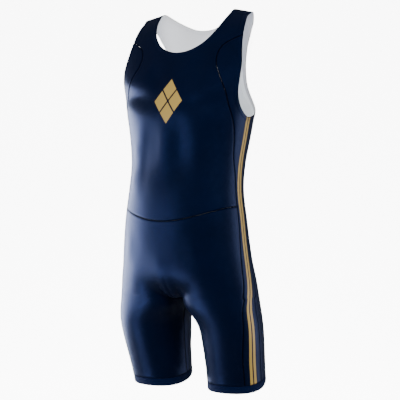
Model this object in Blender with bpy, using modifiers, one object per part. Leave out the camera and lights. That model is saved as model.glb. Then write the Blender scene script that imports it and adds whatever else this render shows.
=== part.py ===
# Rowing unisuit: a sleeveless one-piece racing suit, as it stands when it is worn.
# Frame: metres, +Z up, +X towards the wearer's left, the front towards -Y.
# The origin is the middle of the line on which the two shoulder straps rest.
# Every panel is read from one form: sections down the torso that turn into two legs.

import bmesh
import bpy
import numpy as np

COLLECTION_NAME = "rowing_unisuit"

# Cloth wall, the gap at a sewn seam, and the depth of the band at each leg's end
WALL = 0.0013
SEAM_GAP = 0.0003
HEM_DEPTH = 0.019

# The straps rest at height zero at this distance from the middle and fall away outwards
STRAP_MIDDLE_X = 0.111
SHOULDER_FALL = 0.90

# Torso sections from the shoulder seam (row 0) to the crotch (row 16)
TORSO_COLUMNS = ["z_front", "z_back", "y_front", "y_back", "y_side", "half_width", "squareness"]
TORSO_ROWS = [
    (-0.0040, -0.0040, -0.0090, -0.0090, -0.0090, 0.176, 2.70),
    (-0.0140, 0.0000, -0.0220, 0.0040, -0.0090, 0.176, 2.70),
    (-0.0290, -0.0050, -0.0400, 0.0145, -0.0100, 0.177, 2.70),
    (-0.0480, -0.0180, -0.0580, 0.0245, -0.0120, 0.178, 2.70),
    (-0.0740, -0.0420, -0.0770, 0.0335, -0.0150, 0.179, 2.70),
    (-0.1050, -0.0800, -0.0960, 0.0430, -0.0200, 0.180, 2.65),
    (-0.1480, -0.1300, -0.1180, 0.0530, -0.0270, 0.180, 2.60),
    (-0.1980, -0.1880, -0.1380, 0.0640, -0.0350, 0.163, 2.50),
    (-0.2450, -0.2450, -0.1510, 0.0720, -0.0410, 0.1520, 2.35),
    (-0.3000, -0.3000, -0.1520, 0.0650, -0.0440, 0.1430, 2.30),
    (-0.3600, -0.3600, -0.1560, 0.0500, -0.0520, 0.1360, 2.25),
    (-0.4200, -0.4200, -0.1670, 0.0370, -0.0600, 0.1370, 2.25),
    (-0.4800, -0.4800, -0.1740, 0.0410, -0.0600, 0.1445, 2.25),
    (-0.5400, -0.5400, -0.1740, 0.0490, -0.0580, 0.1500, 2.30),
    (-0.5900, -0.5900, -0.1680, 0.0580, -0.0545, 0.1560, 2.30),
    (-0.6280, -0.6280, -0.1590, 0.0640, -0.0505, 0.1620, 2.40),
    (-0.6650, -0.6650, -0.1460, 0.0570, -0.0455, 0.1685, 2.50),
]

# Leg sections, the first three beside the last three of the torso, down to the hem
LEG_COLUMNS = [
    "z", "centre_x", "centre_y", "half_width", "half_depth", "turn_out", "side_turn", "hem_rise",
]
LEG_ROWS = [
    (-0.5900, 0.0835, -0.0545, 0.0835, 0.0930, 0.0, 0.0, 0.000),
    (-0.6280, 0.0838, -0.0505, 0.0838, 0.0930, 0.0, 6.0, 0.000),
    (-0.6650, 0.0842, -0.0455, 0.0842, 0.0925, 0.0, 15.0, 0.000),
    (-0.6920, 0.0950, -0.0400, 0.0782, 0.0895, 8.0, 24.0, 0.000),
    (-0.7250, 0.1010, -0.0300, 0.0735, 0.0890, 17.0, 30.0, 0.004),
    (-0.7650, 0.1022, -0.0205, 0.0712, 0.0840, 20.0, 31.0, 0.012),
    (-0.8000, 0.1022, -0.0130, 0.0693, 0.0775, 20.0, 31.0, 0.022),
    (-0.8350, 0.1012, -0.0045, 0.0676, 0.0728, 18.0, 30.0, 0.032),
    (-0.8740, 0.0999, 0.0030, 0.0668, 0.0675, 15.0, 28.0, 0.040),
]
PELVIS_SECTION = 14
CROTCH_SECTION = 16
HEM_SECTION = PELVIS_SECTION + len(LEG_ROWS) - 1
LEG_SQUARENESS = 2.15
LEG_BLEND_END_Z = -0.740
INNER_THIGH_ANGLES = np.radians([20.0, 70.0])

# Cut edge of the neck: height of the section at its centre line, and X
NECK_COLUMNS = ["z", "x"]
NECK_FRONT_ROWS = [
    (-0.004, 0.0945), (-0.014, 0.0930), (-0.030, 0.0890), (-0.048, 0.0825),
    (-0.066, 0.0730), (-0.084, 0.0575), (-0.096, 0.0390), (-0.103, 0.0195), (-0.105, 0.0000),
]
NECK_BACK_ROWS = [
    (-0.004, 0.0945), (0.000, 0.0930), (-0.006, 0.0850), (-0.016, 0.0710),
    (-0.028, 0.0500), (-0.038, 0.0255), (-0.041, 0.0000),
]

# Cut edge of the armholes: height, and cloth between the side line and the edge
ARM_COLUMNS = ["z", "reach"]
ARM_FRONT_ROWS = [
    (-0.004, 0.0340), (-0.020, 0.0430), (-0.039, 0.0500), (-0.072, 0.0600),
    (-0.100, 0.0635), (-0.148, 0.0660), (-0.180, 0.0610), (-0.205, 0.0540),
    (-0.228, 0.0410), (-0.2435, 0.0230), (-0.2500, 0.0088), (-0.2515, 0.0000),
]
ARM_BACK_ROWS = [
    (-0.004, 0.0340), (0.000, 0.0390), (-0.018, 0.0580), (-0.048, 0.0790),
    (-0.090, 0.1040), (-0.130, 0.1180), (-0.170, 0.1130), (-0.203, 0.0935),
    (-0.227, 0.0675), (-0.2425, 0.0375), (-0.2495, 0.0145), (-0.2515, 0.0000),
]

# Side panel, from the armhole to the leg band: cloth in front of and behind the side line
PANEL_COLUMNS = ["z", "forward", "backward"]
PANEL_ROWS = [
    (-0.070, 0.0625, 0.0860), (-0.078, 0.0830, 0.0910), (-0.087, 0.1000, 0.0965),
    (-0.095, 0.1100, 0.1015), (-0.105, 0.1170, 0.1100), (-0.120, 0.1230, 0.1220),
    (-0.140, 0.1230, 0.1330), (-0.163, 0.1110, 0.1360), (-0.185, 0.0960, 0.1300),
    (-0.205, 0.0830, 0.1160), (-0.228, 0.0710, 0.0950), (-0.265, 0.0510, 0.0640),
    (-0.300, 0.0410, 0.0460), (-0.340, 0.0330, 0.0350), (-0.380, 0.0210, 0.0240),
    (-0.410, 0.0165, 0.0180), (-0.480, 0.0165, 0.0180), (-0.530, 0.0190, 0.0200),
    (-0.590, 0.0240, 0.0240), (-0.672, 0.0210, 0.0260), (-0.730, 0.0230, 0.0280),
    (-0.780, 0.0250, 0.0280), (-0.874, 0.0220, 0.0260),
]
FRONT_PANEL_TIP_Z = -0.070
BACK_PANEL_TIP_Z = -0.108

# Waist seam: its height at the side panels and how far it dips at the centres
WAIST_Z = -0.455
WAIST_DIP_FRONT = 0.032
WAIST_DIP_BACK = 0.008

# Heights of the mesh rows above and below the underarm
FRONT_TOP_ROWS_Z = [
    -0.004, -0.014, -0.028, -0.043, -0.058, -0.070, -0.072, -0.078, -0.086, -0.095, -0.101,
    -0.1045, -0.105, -0.125, -0.150, -0.175, -0.200, -0.220, -0.236, -0.246, -0.2502,
]
BACK_TOP_ROWS_Z = [
    -0.004, 0.000, -0.006, -0.016, -0.028, -0.037, -0.0405, -0.041, -0.060, -0.083,
    -0.108, -0.1105, -0.130, -0.150, -0.172, -0.196, -0.218, -0.236, -0.246, -0.2502,
]
BODY_ROWS_Z = [-0.2515, -0.266, -0.287, -0.310, -0.335, -0.360, -0.385, -0.410, -0.433, -0.455]
SHORTS_ROWS_Z = [
    -0.455, -0.480, -0.505, -0.530, -0.555, -0.580, -0.600, -0.618, -0.634, -0.648,
    -0.659, -0.665, -0.675, -0.692, -0.710, -0.728, -0.748, -0.775, -0.802, -0.829,
]

# Columns of each mesh: half of a body or shorts panel, and half of a side panel
HALF_PANEL_COLUMNS = 10
HALF_SIDE_COLUMNS = 3

# Samples of the form: sections per table row, and points round each section
SECTION_STEPS = 12
FIRST_STEP = 1.0 / SECTION_STEPS
RING_POINTS = 361
RING_SEARCH_POINTS = 1441

NAVY = (0.012, 0.026, 0.085, 1.0)
DEEP_NAVY = (0.007, 0.014, 0.050, 1.0)
SATIN_ROUGHNESS = 0.42


def table(columns, rows):
    """A short table as a dictionary with one array for each named column."""
    values = np.array(rows)
    return {name: values[:, number] for number, name in enumerate(columns)}


TORSO = table(TORSO_COLUMNS, TORSO_ROWS)
LEG = table(LEG_COLUMNS, LEG_ROWS)


def ease(value):
    """Smooth step from 0 to 1."""
    value = np.clip(value, 0.0, 1.0)
    return value * value * (3.0 - 2.0 * value)


def curve_through(values, position):
    """Smooth curve through evenly numbered values, read at fractional row numbers."""
    position = np.clip(position, 0.0, len(values) - 1.0)
    row = np.minimum(position.astype(int), len(values) - 2)
    part = position - row
    slope = np.gradient(values)
    start, end = values[row], values[row + 1]
    return (
        start * (1 + 2 * part) * (1 - part) ** 2
        + end * part**2 * (3 - 2 * part)
        + slope[row] * part * (1 - part) ** 2
        - slope[row + 1] * part**2 * (1 - part)
    )


def torso_values(section):
    """All torso columns at one section number."""
    position = np.array([float(section)])
    return {name: curve_through(TORSO[name], position)[0] for name in TORSO_COLUMNS}


def leg_values(section):
    """All leg columns at one section number."""
    position = np.array([float(section) - PELVIS_SECTION])
    return {name: curve_through(LEG[name], position)[0] for name in LEG_COLUMNS}


def torso_outline(values, count):
    """Half a torso section from the front centre to the back centre: a rounded oval."""
    angle = np.linspace(0.0, np.pi, count)
    power = values["squareness"]
    sine, cosine = np.sin(angle), np.cos(angle)
    stretch = (np.abs(sine) ** power + np.abs(cosine) ** power) ** (-1.0 / power)
    x = values["half_width"] * sine * stretch
    depth = np.where(
        cosine > 0, values["y_side"] - values["y_front"], values["y_back"] - values["y_side"]
    )
    y = values["y_side"] - depth * cosine * stretch
    side = np.argmin(np.abs(angle - np.pi / 2))
    return x, y, side


def distance_to_torso(values, centre_x, centre_y, angle):
    """Distance from a leg's centre to the torso's outline, found by halving."""
    near = np.zeros_like(angle)
    far = np.full_like(angle, 0.5)
    for _ in range(40):
        middle = (near + far) / 2
        x = centre_x - middle * np.cos(angle)
        y = centre_y - middle * np.sin(angle) - values["y_side"]
        depth = np.where(
            y < 0, values["y_side"] - values["y_front"], values["y_back"] - values["y_side"]
        )
        power = values["squareness"]
        inside = (np.abs(x) / values["half_width"]) ** power + (np.abs(y) / depth) ** power < 1
        near = np.where(inside, middle, near)
        far = np.where(inside, far, middle)
    return (near + far) / 2


def leg_outline(section):
    """Half a section below the hips, round the leg's centre, open at X = 0 above the crotch."""
    leg = leg_values(section)
    angle = np.linspace(0.0, 2 * np.pi, RING_SEARCH_POINTS)
    power = LEG_SQUARENESS
    turned = angle - np.radians(leg["turn_out"])
    radius = (
        (np.abs(np.cos(turned)) / leg["half_width"]) ** power
        + (np.abs(np.sin(turned)) / leg["half_depth"]) ** power
    ) ** (-1.0 / power)
    top = LEG["z"][0]
    crotch = LEG["z"][CROTCH_SECTION - PELVIS_SECTION]
    inner_share = np.clip((top - leg["z"]) / (top - crotch), 0.0, 1.0) ** 2
    outer_share = ease((top - leg["z"]) / (top - LEG_BLEND_END_Z))
    from_inseam = np.minimum(angle, 2 * np.pi - angle)
    low_angle, high_angle = INNER_THIGH_ANGLES
    outer = ease((from_inseam - low_angle) / (high_angle - low_angle))
    share = (1 - outer) * inner_share + outer * outer_share
    torso = torso_values(min(section, CROTCH_SECTION))
    reach = distance_to_torso(torso, leg["centre_x"], leg["centre_y"], angle)
    radius = (1 - share) * reach + share * radius
    x = leg["centre_x"] - radius * np.cos(angle)
    y = leg["centre_y"] - radius * np.sin(angle)
    if section < CROTCH_SECTION:
        inside = np.nonzero(x > 0)[0]
        first, last = inside[0], inside[-1]
        open_part = slice(first - 1, last + 2)
        x, y, angle = x[open_part].copy(), y[open_part].copy(), angle[open_part]
        for end, inner in ((0, 1), (-1, -2)):
            part = x[inner] / (x[inner] - x[end])
            y[end] = y[inner] + (y[end] - y[inner]) * part
            x[end] = 0.0
    side = np.argmin(np.abs(angle - np.pi + np.radians(leg["side_turn"])))
    return x, y, side, leg


def section_ring(section):
    """Evenly spaced points round half a section, its length and where its side lies."""
    if section <= PELVIS_SECTION:
        values = torso_values(section)
        x, y, side = torso_outline(values, RING_SEARCH_POINTS)
        depth = values["y_back"] - values["y_front"]
        back_share = (y - values["y_front"]) / depth if depth > 1e-6 else np.linspace(0, 1, len(y))
        z = values["z_front"] + (values["z_back"] - values["z_front"]) * back_share
        fade = 1.0 - ease(section / 7.0)
        z = z + SHOULDER_FALL * (STRAP_MIDDLE_X**2 - x**2) * fade
    else:
        x, y, side, leg = leg_outline(section)
        back_share = (y - leg["centre_y"]) / (2 * leg["half_depth"]) + 0.5
        z = leg["z"] + leg["hem_rise"] * (np.maximum(back_share, 0.0) ** 2 - 0.25)
    points = np.stack([x, y, z], axis=1)
    steps = np.linalg.norm(np.diff(points, axis=0), axis=1)
    along = np.concatenate([[0.0], np.cumsum(steps)])
    even = np.linspace(0.0, along[-1], RING_POINTS)
    ring = np.stack([np.interp(even, along, points[:, axis]) for axis in range(3)], axis=1)
    return ring, along[-1], along[side] / along[-1]


# The whole form, sampled once: sections down, equal steps of girth round
SECTIONS = np.unique(np.concatenate([
    np.linspace(0.0, HEM_SECTION, HEM_SECTION * SECTION_STEPS + 1),
    CROTCH_SECTION - np.linspace(0.0, 0.6, 40) ** 2,
]))
RINGS = [section_ring(section) for section in SECTIONS]
FORM = np.array([ring for ring, length, side in RINGS])
GIRTH = np.array([length for ring, length, side in RINGS])
SIDE_SHARE = np.array([side for ring, length, side in RINGS])


def point_on_form(section, share):
    """Point of the form at fractional section numbers and shares of the half girth."""
    section, share = np.broadcast_arrays(section, share)
    row = np.clip(np.interp(section, SECTIONS, np.arange(len(SECTIONS))), 0, len(FORM) - 1.000001)
    column = np.clip(share * (RING_POINTS - 1), 0, RING_POINTS - 1.000001)
    row_low, column_low = row.astype(int), column.astype(int)
    row_part = (row - row_low)[..., None]
    column_part = (column - column_low)[..., None]
    upper = FORM[row_low, column_low] * (1 - column_part) + FORM[row_low, column_low + 1] * column_part
    lower = (
        FORM[row_low + 1, column_low] * (1 - column_part)
        + FORM[row_low + 1, column_low + 1] * column_part
    )
    return upper * (1 - row_part) + lower * row_part


def sections_at_height(heights, back=False):
    """Section numbers at heights of the front centre line, or of the back one."""
    column = "z_back" if back else "z_front"
    upper = np.linspace(0.0, PELVIS_SECTION, PELVIS_SECTION * 40 + 1)
    height = curve_through(TORSO[column], upper)
    lower = np.linspace(0.0, len(LEG_ROWS) - 1.0, 281)
    numbers = np.concatenate([upper[:-1], lower + PELVIS_SECTION])
    height = np.concatenate([height[:-1], curve_through(LEG["z"], lower)])
    start = int(np.argmax(height))
    found = np.interp(-np.asarray(heights, float), -height[start:], numbers[start:])
    return np.where(np.isclose(heights, TORSO_ROWS[0][0]), 0.0, found)


def share_at_x(section, x, back=False):
    """Share of the half girth at which a section reaches a distance X from the middle."""
    ring = point_on_form(np.full(RING_POINTS, section), np.linspace(0, 1, RING_POINTS))
    widest = int(np.argmax(ring[:, 0]))
    shares = np.linspace(0, 1, RING_POINTS)
    if back:
        return np.interp(x, ring[widest:, 0][::-1], shares[widest:][::-1])
    return np.interp(x, ring[:widest + 1, 0], shares[:widest + 1])


def neck_shares(sections, back):
    """Shares of the half girth along the neck's edge, at the given sections."""
    edge = table(NECK_COLUMNS, NECK_BACK_ROWS if back else NECK_FRONT_ROWS)
    numbers = sections_at_height(edge["z"], back)
    x = curve_through(edge["x"], np.interp(sections, numbers, np.arange(len(numbers))))
    return np.array([share_at_x(section, value, back) for section, value in zip(sections, x)])


def side_distance_share(sections, rows, columns, name, back):
    """Shares of the half girth at a tabled distance along the cloth from the side line."""
    edge = table(columns, rows)
    numbers = sections_at_height(edge["z"], back)
    distance = curve_through(edge[name], np.interp(sections, numbers, np.arange(len(numbers))))
    girth = np.interp(sections, SECTIONS, GIRTH)
    side = np.interp(sections, SECTIONS, SIDE_SHARE)
    return side + distance / girth if back else side - distance / girth


def arm_shares(sections, back):
    """Shares along the armhole's edge."""
    rows = ARM_BACK_ROWS if back else ARM_FRONT_ROWS
    return side_distance_share(sections, rows, ARM_COLUMNS, "reach", back)


def panel_share(sections, back=False):
    """Shares along the seam in front of the side panel, or behind it."""
    name = "backward" if back else "forward"
    return side_distance_share(sections, PANEL_ROWS, PANEL_COLUMNS, name, back)


def half_gap(sections):
    """Half the seam gap as a share of the half girth."""
    return SEAM_GAP / 2 / np.interp(sections, SECTIONS, GIRTH)


def shifted_down(sections, distance):
    """Section numbers moved down the cloth by a distance."""
    above = np.maximum(sections - 0.05, 0.0)
    below = np.minimum(sections + 0.05, float(HEM_SECTION))
    length = np.linalg.norm(point_on_form(below, 0.45) - point_on_form(above, 0.45), axis=-1)
    return sections + distance * (below - above) / length


def shoulder_seam_shift():
    """Section number half a seam gap below the shoulder seam."""
    strap_share = 0.5 * (NECK_FRONT_ROWS[0][1] + TORSO_ROWS[0][5]) / TORSO_ROWS[0][5]
    first, second = point_on_form(np.array([0.0, FIRST_STEP]), strap_share)
    return FIRST_STEP * SEAM_GAP / 2 / np.linalg.norm(second - first)


def column_shares(sections, inner, outer, columns, settled=False):
    """Shares of the half girth at a grid's columns, between its two edges.

    A settled grid keeps its outer columns in place where the inner edge moves fast.
    """
    across = np.linspace(0.0, 1.0, columns + 1)
    share = inner[:, None] + (outer - inner)[:, None] * across
    if settled:
        girth = np.interp(sections, SECTIONS, GIRTH)[:, None]
        reach = (inner - outer)[:, None] * girth
        steady = np.min(np.abs(reach)) * np.sign(reach)
        from_outer = 1.0 - across
        share = outer[:, None] + (steady * from_outer + (reach - steady) * from_outer**3) / girth
    return share


def half_grid(sections, inner, outer, columns, dip=0.0, dip_share=0.0, settled=False):
    """Grid of points between two edges, its rows sagging by a share of the waist's dip."""
    share = column_shares(sections, inner, outer, columns, settled)
    from_centre = (share - inner[:, None]) / (outer - inner)[:, None]
    sag = np.cos(from_centre * np.pi / 2) ** 2
    rows = sections[:, None] + dip * np.reshape(dip_share, (-1, 1)) * sag
    return point_on_form(rows, share)


def mirrored(grid):
    """The same grid on the wearer's right, with its faces still pointing out."""
    return (grid * np.array([-1.0, 1.0, 1.0]))[:, ::-1]


def cloth_material(name, colour):
    """Satin stretch knit, printed right through in one colour."""
    material = bpy.data.materials.new(name)
    material.use_nodes = True
    shader = material.node_tree.nodes["Principled BSDF"]
    shader.inputs["Base Color"].default_value = colour
    shader.inputs["Roughness"].default_value = SATIN_ROUGHNESS
    shader.inputs["Metallic"].default_value = 0.0
    return material


def add_panel(collection, name, grids, colour=NAVY, symmetric=False):
    """One cut piece of cloth: open grids joined into a surface and given the wall."""
    mesh = bpy.data.meshes.new(name)
    build = bmesh.new()
    for grid in grids:
        rows, columns = grid.shape[:2]
        corners = [[build.verts.new(point) for point in row] for row in grid]
        for row in range(rows - 1):
            for column in range(columns - 1):
                build.faces.new((
                    corners[row][column],
                    corners[row + 1][column],
                    corners[row + 1][column + 1],
                    corners[row][column + 1],
                ))
    bmesh.ops.remove_doubles(build, verts=build.verts, dist=0.00001)
    build.to_mesh(mesh)
    build.free()
    mesh.shade_smooth()
    panel = bpy.data.objects.new(name, mesh)
    panel.data.materials.append(cloth_material(name + "_knit", colour))
    collection.objects.link(panel)
    if symmetric:
        mirror = panel.modifiers.new("Both sides", "MIRROR")
        mirror.use_axis[0] = True
        mirror.use_clip = False
        mirror.merge_threshold = 0.00001
    wall = panel.modifiers.new("Cloth wall", "SOLIDIFY")
    wall.thickness = WALL
    wall.offset = 1.0
    return panel


def top_edges(back):
    """Sections, inner edge, outer edge and armhole edge of a body panel above the underarm."""
    sections = sections_at_height(BACK_TOP_ROWS_Z if back else FRONT_TOP_ROWS_Z, back)
    neck_z = NECK_BACK_ROWS[-1][0] if back else NECK_FRONT_ROWS[-1][0]
    neck_end = sections_at_height([neck_z], back)[0]
    tip = sections_at_height([BACK_PANEL_TIP_Z if back else FRONT_PANEL_TIP_Z], back)[0]
    centre = 1.0 if back else 0.0
    inner = np.where(sections < neck_end - 1e-6, neck_shares(sections, back), centre)
    arm = arm_shares(sections, back)
    gap = half_gap(sections)
    seam = panel_share(sections, back) + (gap if back else -gap)
    outer = np.where(sections <= tip + 1e-6, arm, seam)
    return sections, inner, outer, arm, tip


def make_body(collection, name, back):
    """Front or back body panel, from the straps to the waist seam."""
    sections, inner, outer, _, _ = top_edges(back)
    lower = sections_at_height(BODY_ROWS_Z, back)
    gap = half_gap(lower)
    seam = panel_share(lower, back) + (gap if back else -gap)
    centre = 1.0 if back else 0.0
    sections = np.concatenate([sections, lower])
    inner = np.concatenate([inner, np.full(len(lower), centre)])
    outer = np.concatenate([outer, seam])
    dip_z = WAIST_DIP_BACK if back else WAIST_DIP_FRONT
    waist = sections_at_height([WAIST_Z, WAIST_Z - dip_z], back)
    dip_share = ease((sections - lower[3]) / (lower[-1] - lower[3]))
    sections[-1] = shifted_down(sections[-1], -SEAM_GAP / 2)
    sections[0] = shoulder_seam_shift()
    grid = half_grid(sections, inner, outer, HALF_PANEL_COLUMNS, waist[1] - waist[0], dip_share)
    if back:
        grid = grid[:, ::-1]
    return add_panel(collection, name, [grid], symmetric=True)


def shorts_edges(back):
    """Sections, inner edge and outer edge of a shorts panel, down to the leg bands."""
    sections = sections_at_height(SHORTS_ROWS_Z, back)
    hem_top = shifted_down(np.array([float(HEM_SECTION)]), -HEM_DEPTH)
    sections = np.concatenate([sections, shifted_down(hem_top, -SEAM_GAP / 2)])
    gap = half_gap(sections)
    centre = 1.0 if back else 0.0
    below = sections > CROTCH_SECTION - 1e-6
    inseam = 1.0 - gap if back else gap
    inner = np.where(below, inseam, centre)
    outer = panel_share(sections, back) + (gap if back else -gap)
    return sections, inner, outer


def make_shorts(collection, name, back):
    """Front or back of the shorts: both legs from the waist seam to the leg bands."""
    sections, inner, outer = shorts_edges(back)
    dip_z = WAIST_DIP_BACK if back else WAIST_DIP_FRONT
    waist = sections_at_height([WAIST_Z, WAIST_Z - dip_z], back)
    dip_share = 1.0 - ease((sections - sections[0]) / (sections[4] - sections[0]))
    sections[0] = shifted_down(sections[0], SEAM_GAP / 2)
    dip = waist[1] - waist[0]
    grid = half_grid(sections, inner, outer, HALF_PANEL_COLUMNS, dip, dip_share, settled=True)
    if back:
        grid = grid[:, ::-1]
    return add_panel(collection, name, [grid], symmetric=True)


def side_grids():
    """Left side panel in two grids, in front of and behind the line below the underarm."""
    grids = []
    hem_top = shifted_down(np.array([float(HEM_SECTION)]), -HEM_DEPTH)
    last = shifted_down(hem_top, -SEAM_GAP / 2)
    for back in (False, True):
        sections, _, _, arm, tip = top_edges(back)
        horn = sections > tip + 1e-6
        lower = sections_at_height(BODY_ROWS_Z + SHORTS_ROWS_Z[1:])
        middle = np.interp(lower, SECTIONS, SIDE_SHARE)
        middle = np.concatenate([arm[horn], middle])
        sections = np.concatenate([sections[horn], lower, last])
        middle = np.concatenate([middle, np.interp(last, SECTIONS, SIDE_SHARE)])
        gap = half_gap(sections)
        seam = panel_share(sections, back) + (-gap if back else gap)
        start, end = (middle, seam) if back else (seam, middle)
        grids.append(half_grid(sections, start, end, HALF_SIDE_COLUMNS))
    return grids


def hem_grid():
    """Left leg's band, a closed ring whose corners lie under those of the panels."""
    hem_top = shifted_down(np.array([float(HEM_SECTION)]), -HEM_DEPTH)
    front_shares, back_shares = [
        column_shares(*shorts_edges(back), HALF_PANEL_COLUMNS, settled=True)[-1]
        for back in (False, True)
    ]
    middle = np.interp(hem_top, SECTIONS, SIDE_SHARE)[0]
    ahead = np.linspace(panel_share(hem_top)[0], middle, HALF_SIDE_COLUMNS + 1)
    behind = np.linspace(middle, panel_share(hem_top, back=True)[0], HALF_SIDE_COLUMNS + 1)
    share = np.concatenate([
        [0.0], front_shares[1:-1], ahead[:-1], behind, back_shares[-2:0:-1], [1.0],
    ])
    top = shifted_down(hem_top, SEAM_GAP / 2)[0]
    sections = np.linspace(top, HEM_SECTION, 3)
    return point_on_form(sections[:, None], share[None, :])


def make_unisuit():
    """All the cut pieces of the suit, each its own object."""
    for old in list(bpy.data.objects):
        bpy.data.objects.remove(old, do_unlink=True)
    collection = bpy.data.collections.new(COLLECTION_NAME)
    bpy.context.scene.collection.children.link(collection)
    make_body(collection, "front_body", back=False)
    make_body(collection, "back_body", back=True)
    make_shorts(collection, "front_shorts", back=False)
    make_shorts(collection, "back_shorts", back=True)
    left = side_grids()
    add_panel(collection, "side_panel_left", left)
    add_panel(collection, "side_panel_right", [mirrored(grid) for grid in left])
    band = hem_grid()
    add_panel(collection, "hem_band_left", [band], DEEP_NAVY)
    add_panel(collection, "hem_band_right", [mirrored(band)], DEEP_NAVY)


make_unisuit()
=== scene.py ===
# Rowing unisuit, dressed: satin stretch knit shells on the solids' own form, with hems,
# seams, stitching, printed stripes and soft tension folds.
# Metres, +Z up, the front towards -Y, the wearer's left towards +X.

import bpy
import numpy as np
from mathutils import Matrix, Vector


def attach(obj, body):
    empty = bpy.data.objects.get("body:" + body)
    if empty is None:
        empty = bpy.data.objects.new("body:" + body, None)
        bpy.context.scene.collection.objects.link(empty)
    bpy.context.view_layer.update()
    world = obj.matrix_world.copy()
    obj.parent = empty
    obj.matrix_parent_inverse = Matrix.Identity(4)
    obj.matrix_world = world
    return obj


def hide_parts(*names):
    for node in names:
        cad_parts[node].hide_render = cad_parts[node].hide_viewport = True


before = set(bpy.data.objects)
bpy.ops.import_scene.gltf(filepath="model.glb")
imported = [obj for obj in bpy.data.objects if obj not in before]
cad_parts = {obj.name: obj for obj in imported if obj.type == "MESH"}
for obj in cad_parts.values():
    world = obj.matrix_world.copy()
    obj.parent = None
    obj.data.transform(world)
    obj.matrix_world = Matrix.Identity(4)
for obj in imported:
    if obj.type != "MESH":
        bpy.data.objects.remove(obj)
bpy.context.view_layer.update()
print("frame loaded:", len(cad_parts), "nodes")

# The form that every panel is cut to, in metres
suit = {
    "hemDepth": 0.019,
    "seamGap": 0.0001,
    "strapMiddle": 0.111,
    "shoulderFall": 0.90,
    "legSquareness": 2.15,
    "legBlendEnd": -0.740,
    "innerThighDegrees": (20.0, 70.0),
    "pelvisSection": 14,
    "crotchSection": 16,
    "stepsPerSection": 24,
    "ringPoints": 481,
    "smoothing": 0.20,
    "crotchKeptDown": 0.9,
    "crotchKeptRound": 0.16,
    "crotchEaseDown": 1.4,
    "crotchEaseFrom": 0.010,
    "crotchEaseOver": 0.050,
    "crotchEaseBlur": 0.55,
    "sideLineEaseDown": 2.5,
    "sideLineEaseBlur": 1.4,
    "waistHeight": -0.455,
    "waistDipFront": 0.032,
    "waistDipBack": 0.008,
    "waistDipStart": -0.310,
    "waistDipEnd": -0.555,
}
halfGap = suit["seamGap"] / 2

torsoColumns = ["zFront", "zBack", "yFront", "yBack", "ySide", "halfWidth", "squareness"]
torsoRows = [
    (-0.0040, -0.0040, -0.0090, -0.0090, -0.0090, 0.176, 2.70),
    (-0.0140, 0.0000, -0.0220, 0.0040, -0.0090, 0.176, 2.70),
    (-0.0290, -0.0050, -0.0400, 0.0145, -0.0100, 0.177, 2.70),
    (-0.0480, -0.0180, -0.0580, 0.0245, -0.0120, 0.178, 2.70),
    (-0.0740, -0.0420, -0.0770, 0.0335, -0.0150, 0.179, 2.70),
    (-0.1050, -0.0800, -0.0960, 0.0430, -0.0200, 0.180, 2.65),
    (-0.1480, -0.1300, -0.1180, 0.0530, -0.0270, 0.180, 2.60),
    (-0.1980, -0.1880, -0.1380, 0.0640, -0.0350, 0.163, 2.50),
    (-0.2450, -0.2450, -0.1510, 0.0720, -0.0410, 0.1520, 2.35),
    (-0.3000, -0.3000, -0.1520, 0.0650, -0.0440, 0.1430, 2.30),
    (-0.3600, -0.3600, -0.1560, 0.0500, -0.0520, 0.1360, 2.25),
    (-0.4200, -0.4200, -0.1670, 0.0370, -0.0600, 0.1370, 2.25),
    (-0.4800, -0.4800, -0.1740, 0.0410, -0.0600, 0.1445, 2.25),
    (-0.5400, -0.5400, -0.1740, 0.0490, -0.0580, 0.1500, 2.30),
    (-0.5900, -0.5900, -0.1680, 0.0580, -0.0545, 0.1560, 2.30),
    (-0.6280, -0.6280, -0.1590, 0.0640, -0.0505, 0.1620, 2.40),
    (-0.6650, -0.6650, -0.1460, 0.0570, -0.0455, 0.1685, 2.50),
]
legColumns = [
    "z", "centreX", "centreY", "halfWidth", "halfDepth", "turnOut", "sideTurn", "hemRise",
]
legRows = [
    (-0.5900, 0.0835, -0.0545, 0.0835, 0.0930, 0.0, 0.0, 0.000),
    (-0.6280, 0.0838, -0.0505, 0.0838, 0.0930, 0.0, 6.0, 0.000),
    (-0.6650, 0.0842, -0.0455, 0.0842, 0.0925, 0.0, 15.0, 0.000),
    (-0.6920, 0.0950, -0.0400, 0.0782, 0.0895, 8.0, 24.0, 0.000),
    (-0.7250, 0.1010, -0.0300, 0.0735, 0.0890, 17.0, 30.0, 0.004),
    (-0.7650, 0.1022, -0.0205, 0.0712, 0.0840, 20.0, 31.0, 0.012),
    (-0.8000, 0.1022, -0.0130, 0.0693, 0.0775, 20.0, 31.0, 0.022),
    (-0.8350, 0.1012, -0.0045, 0.0676, 0.0728, 18.0, 30.0, 0.032),
    (-0.8740, 0.0999, 0.0030, 0.0668, 0.0675, 15.0, 28.0, 0.040),
]

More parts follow.
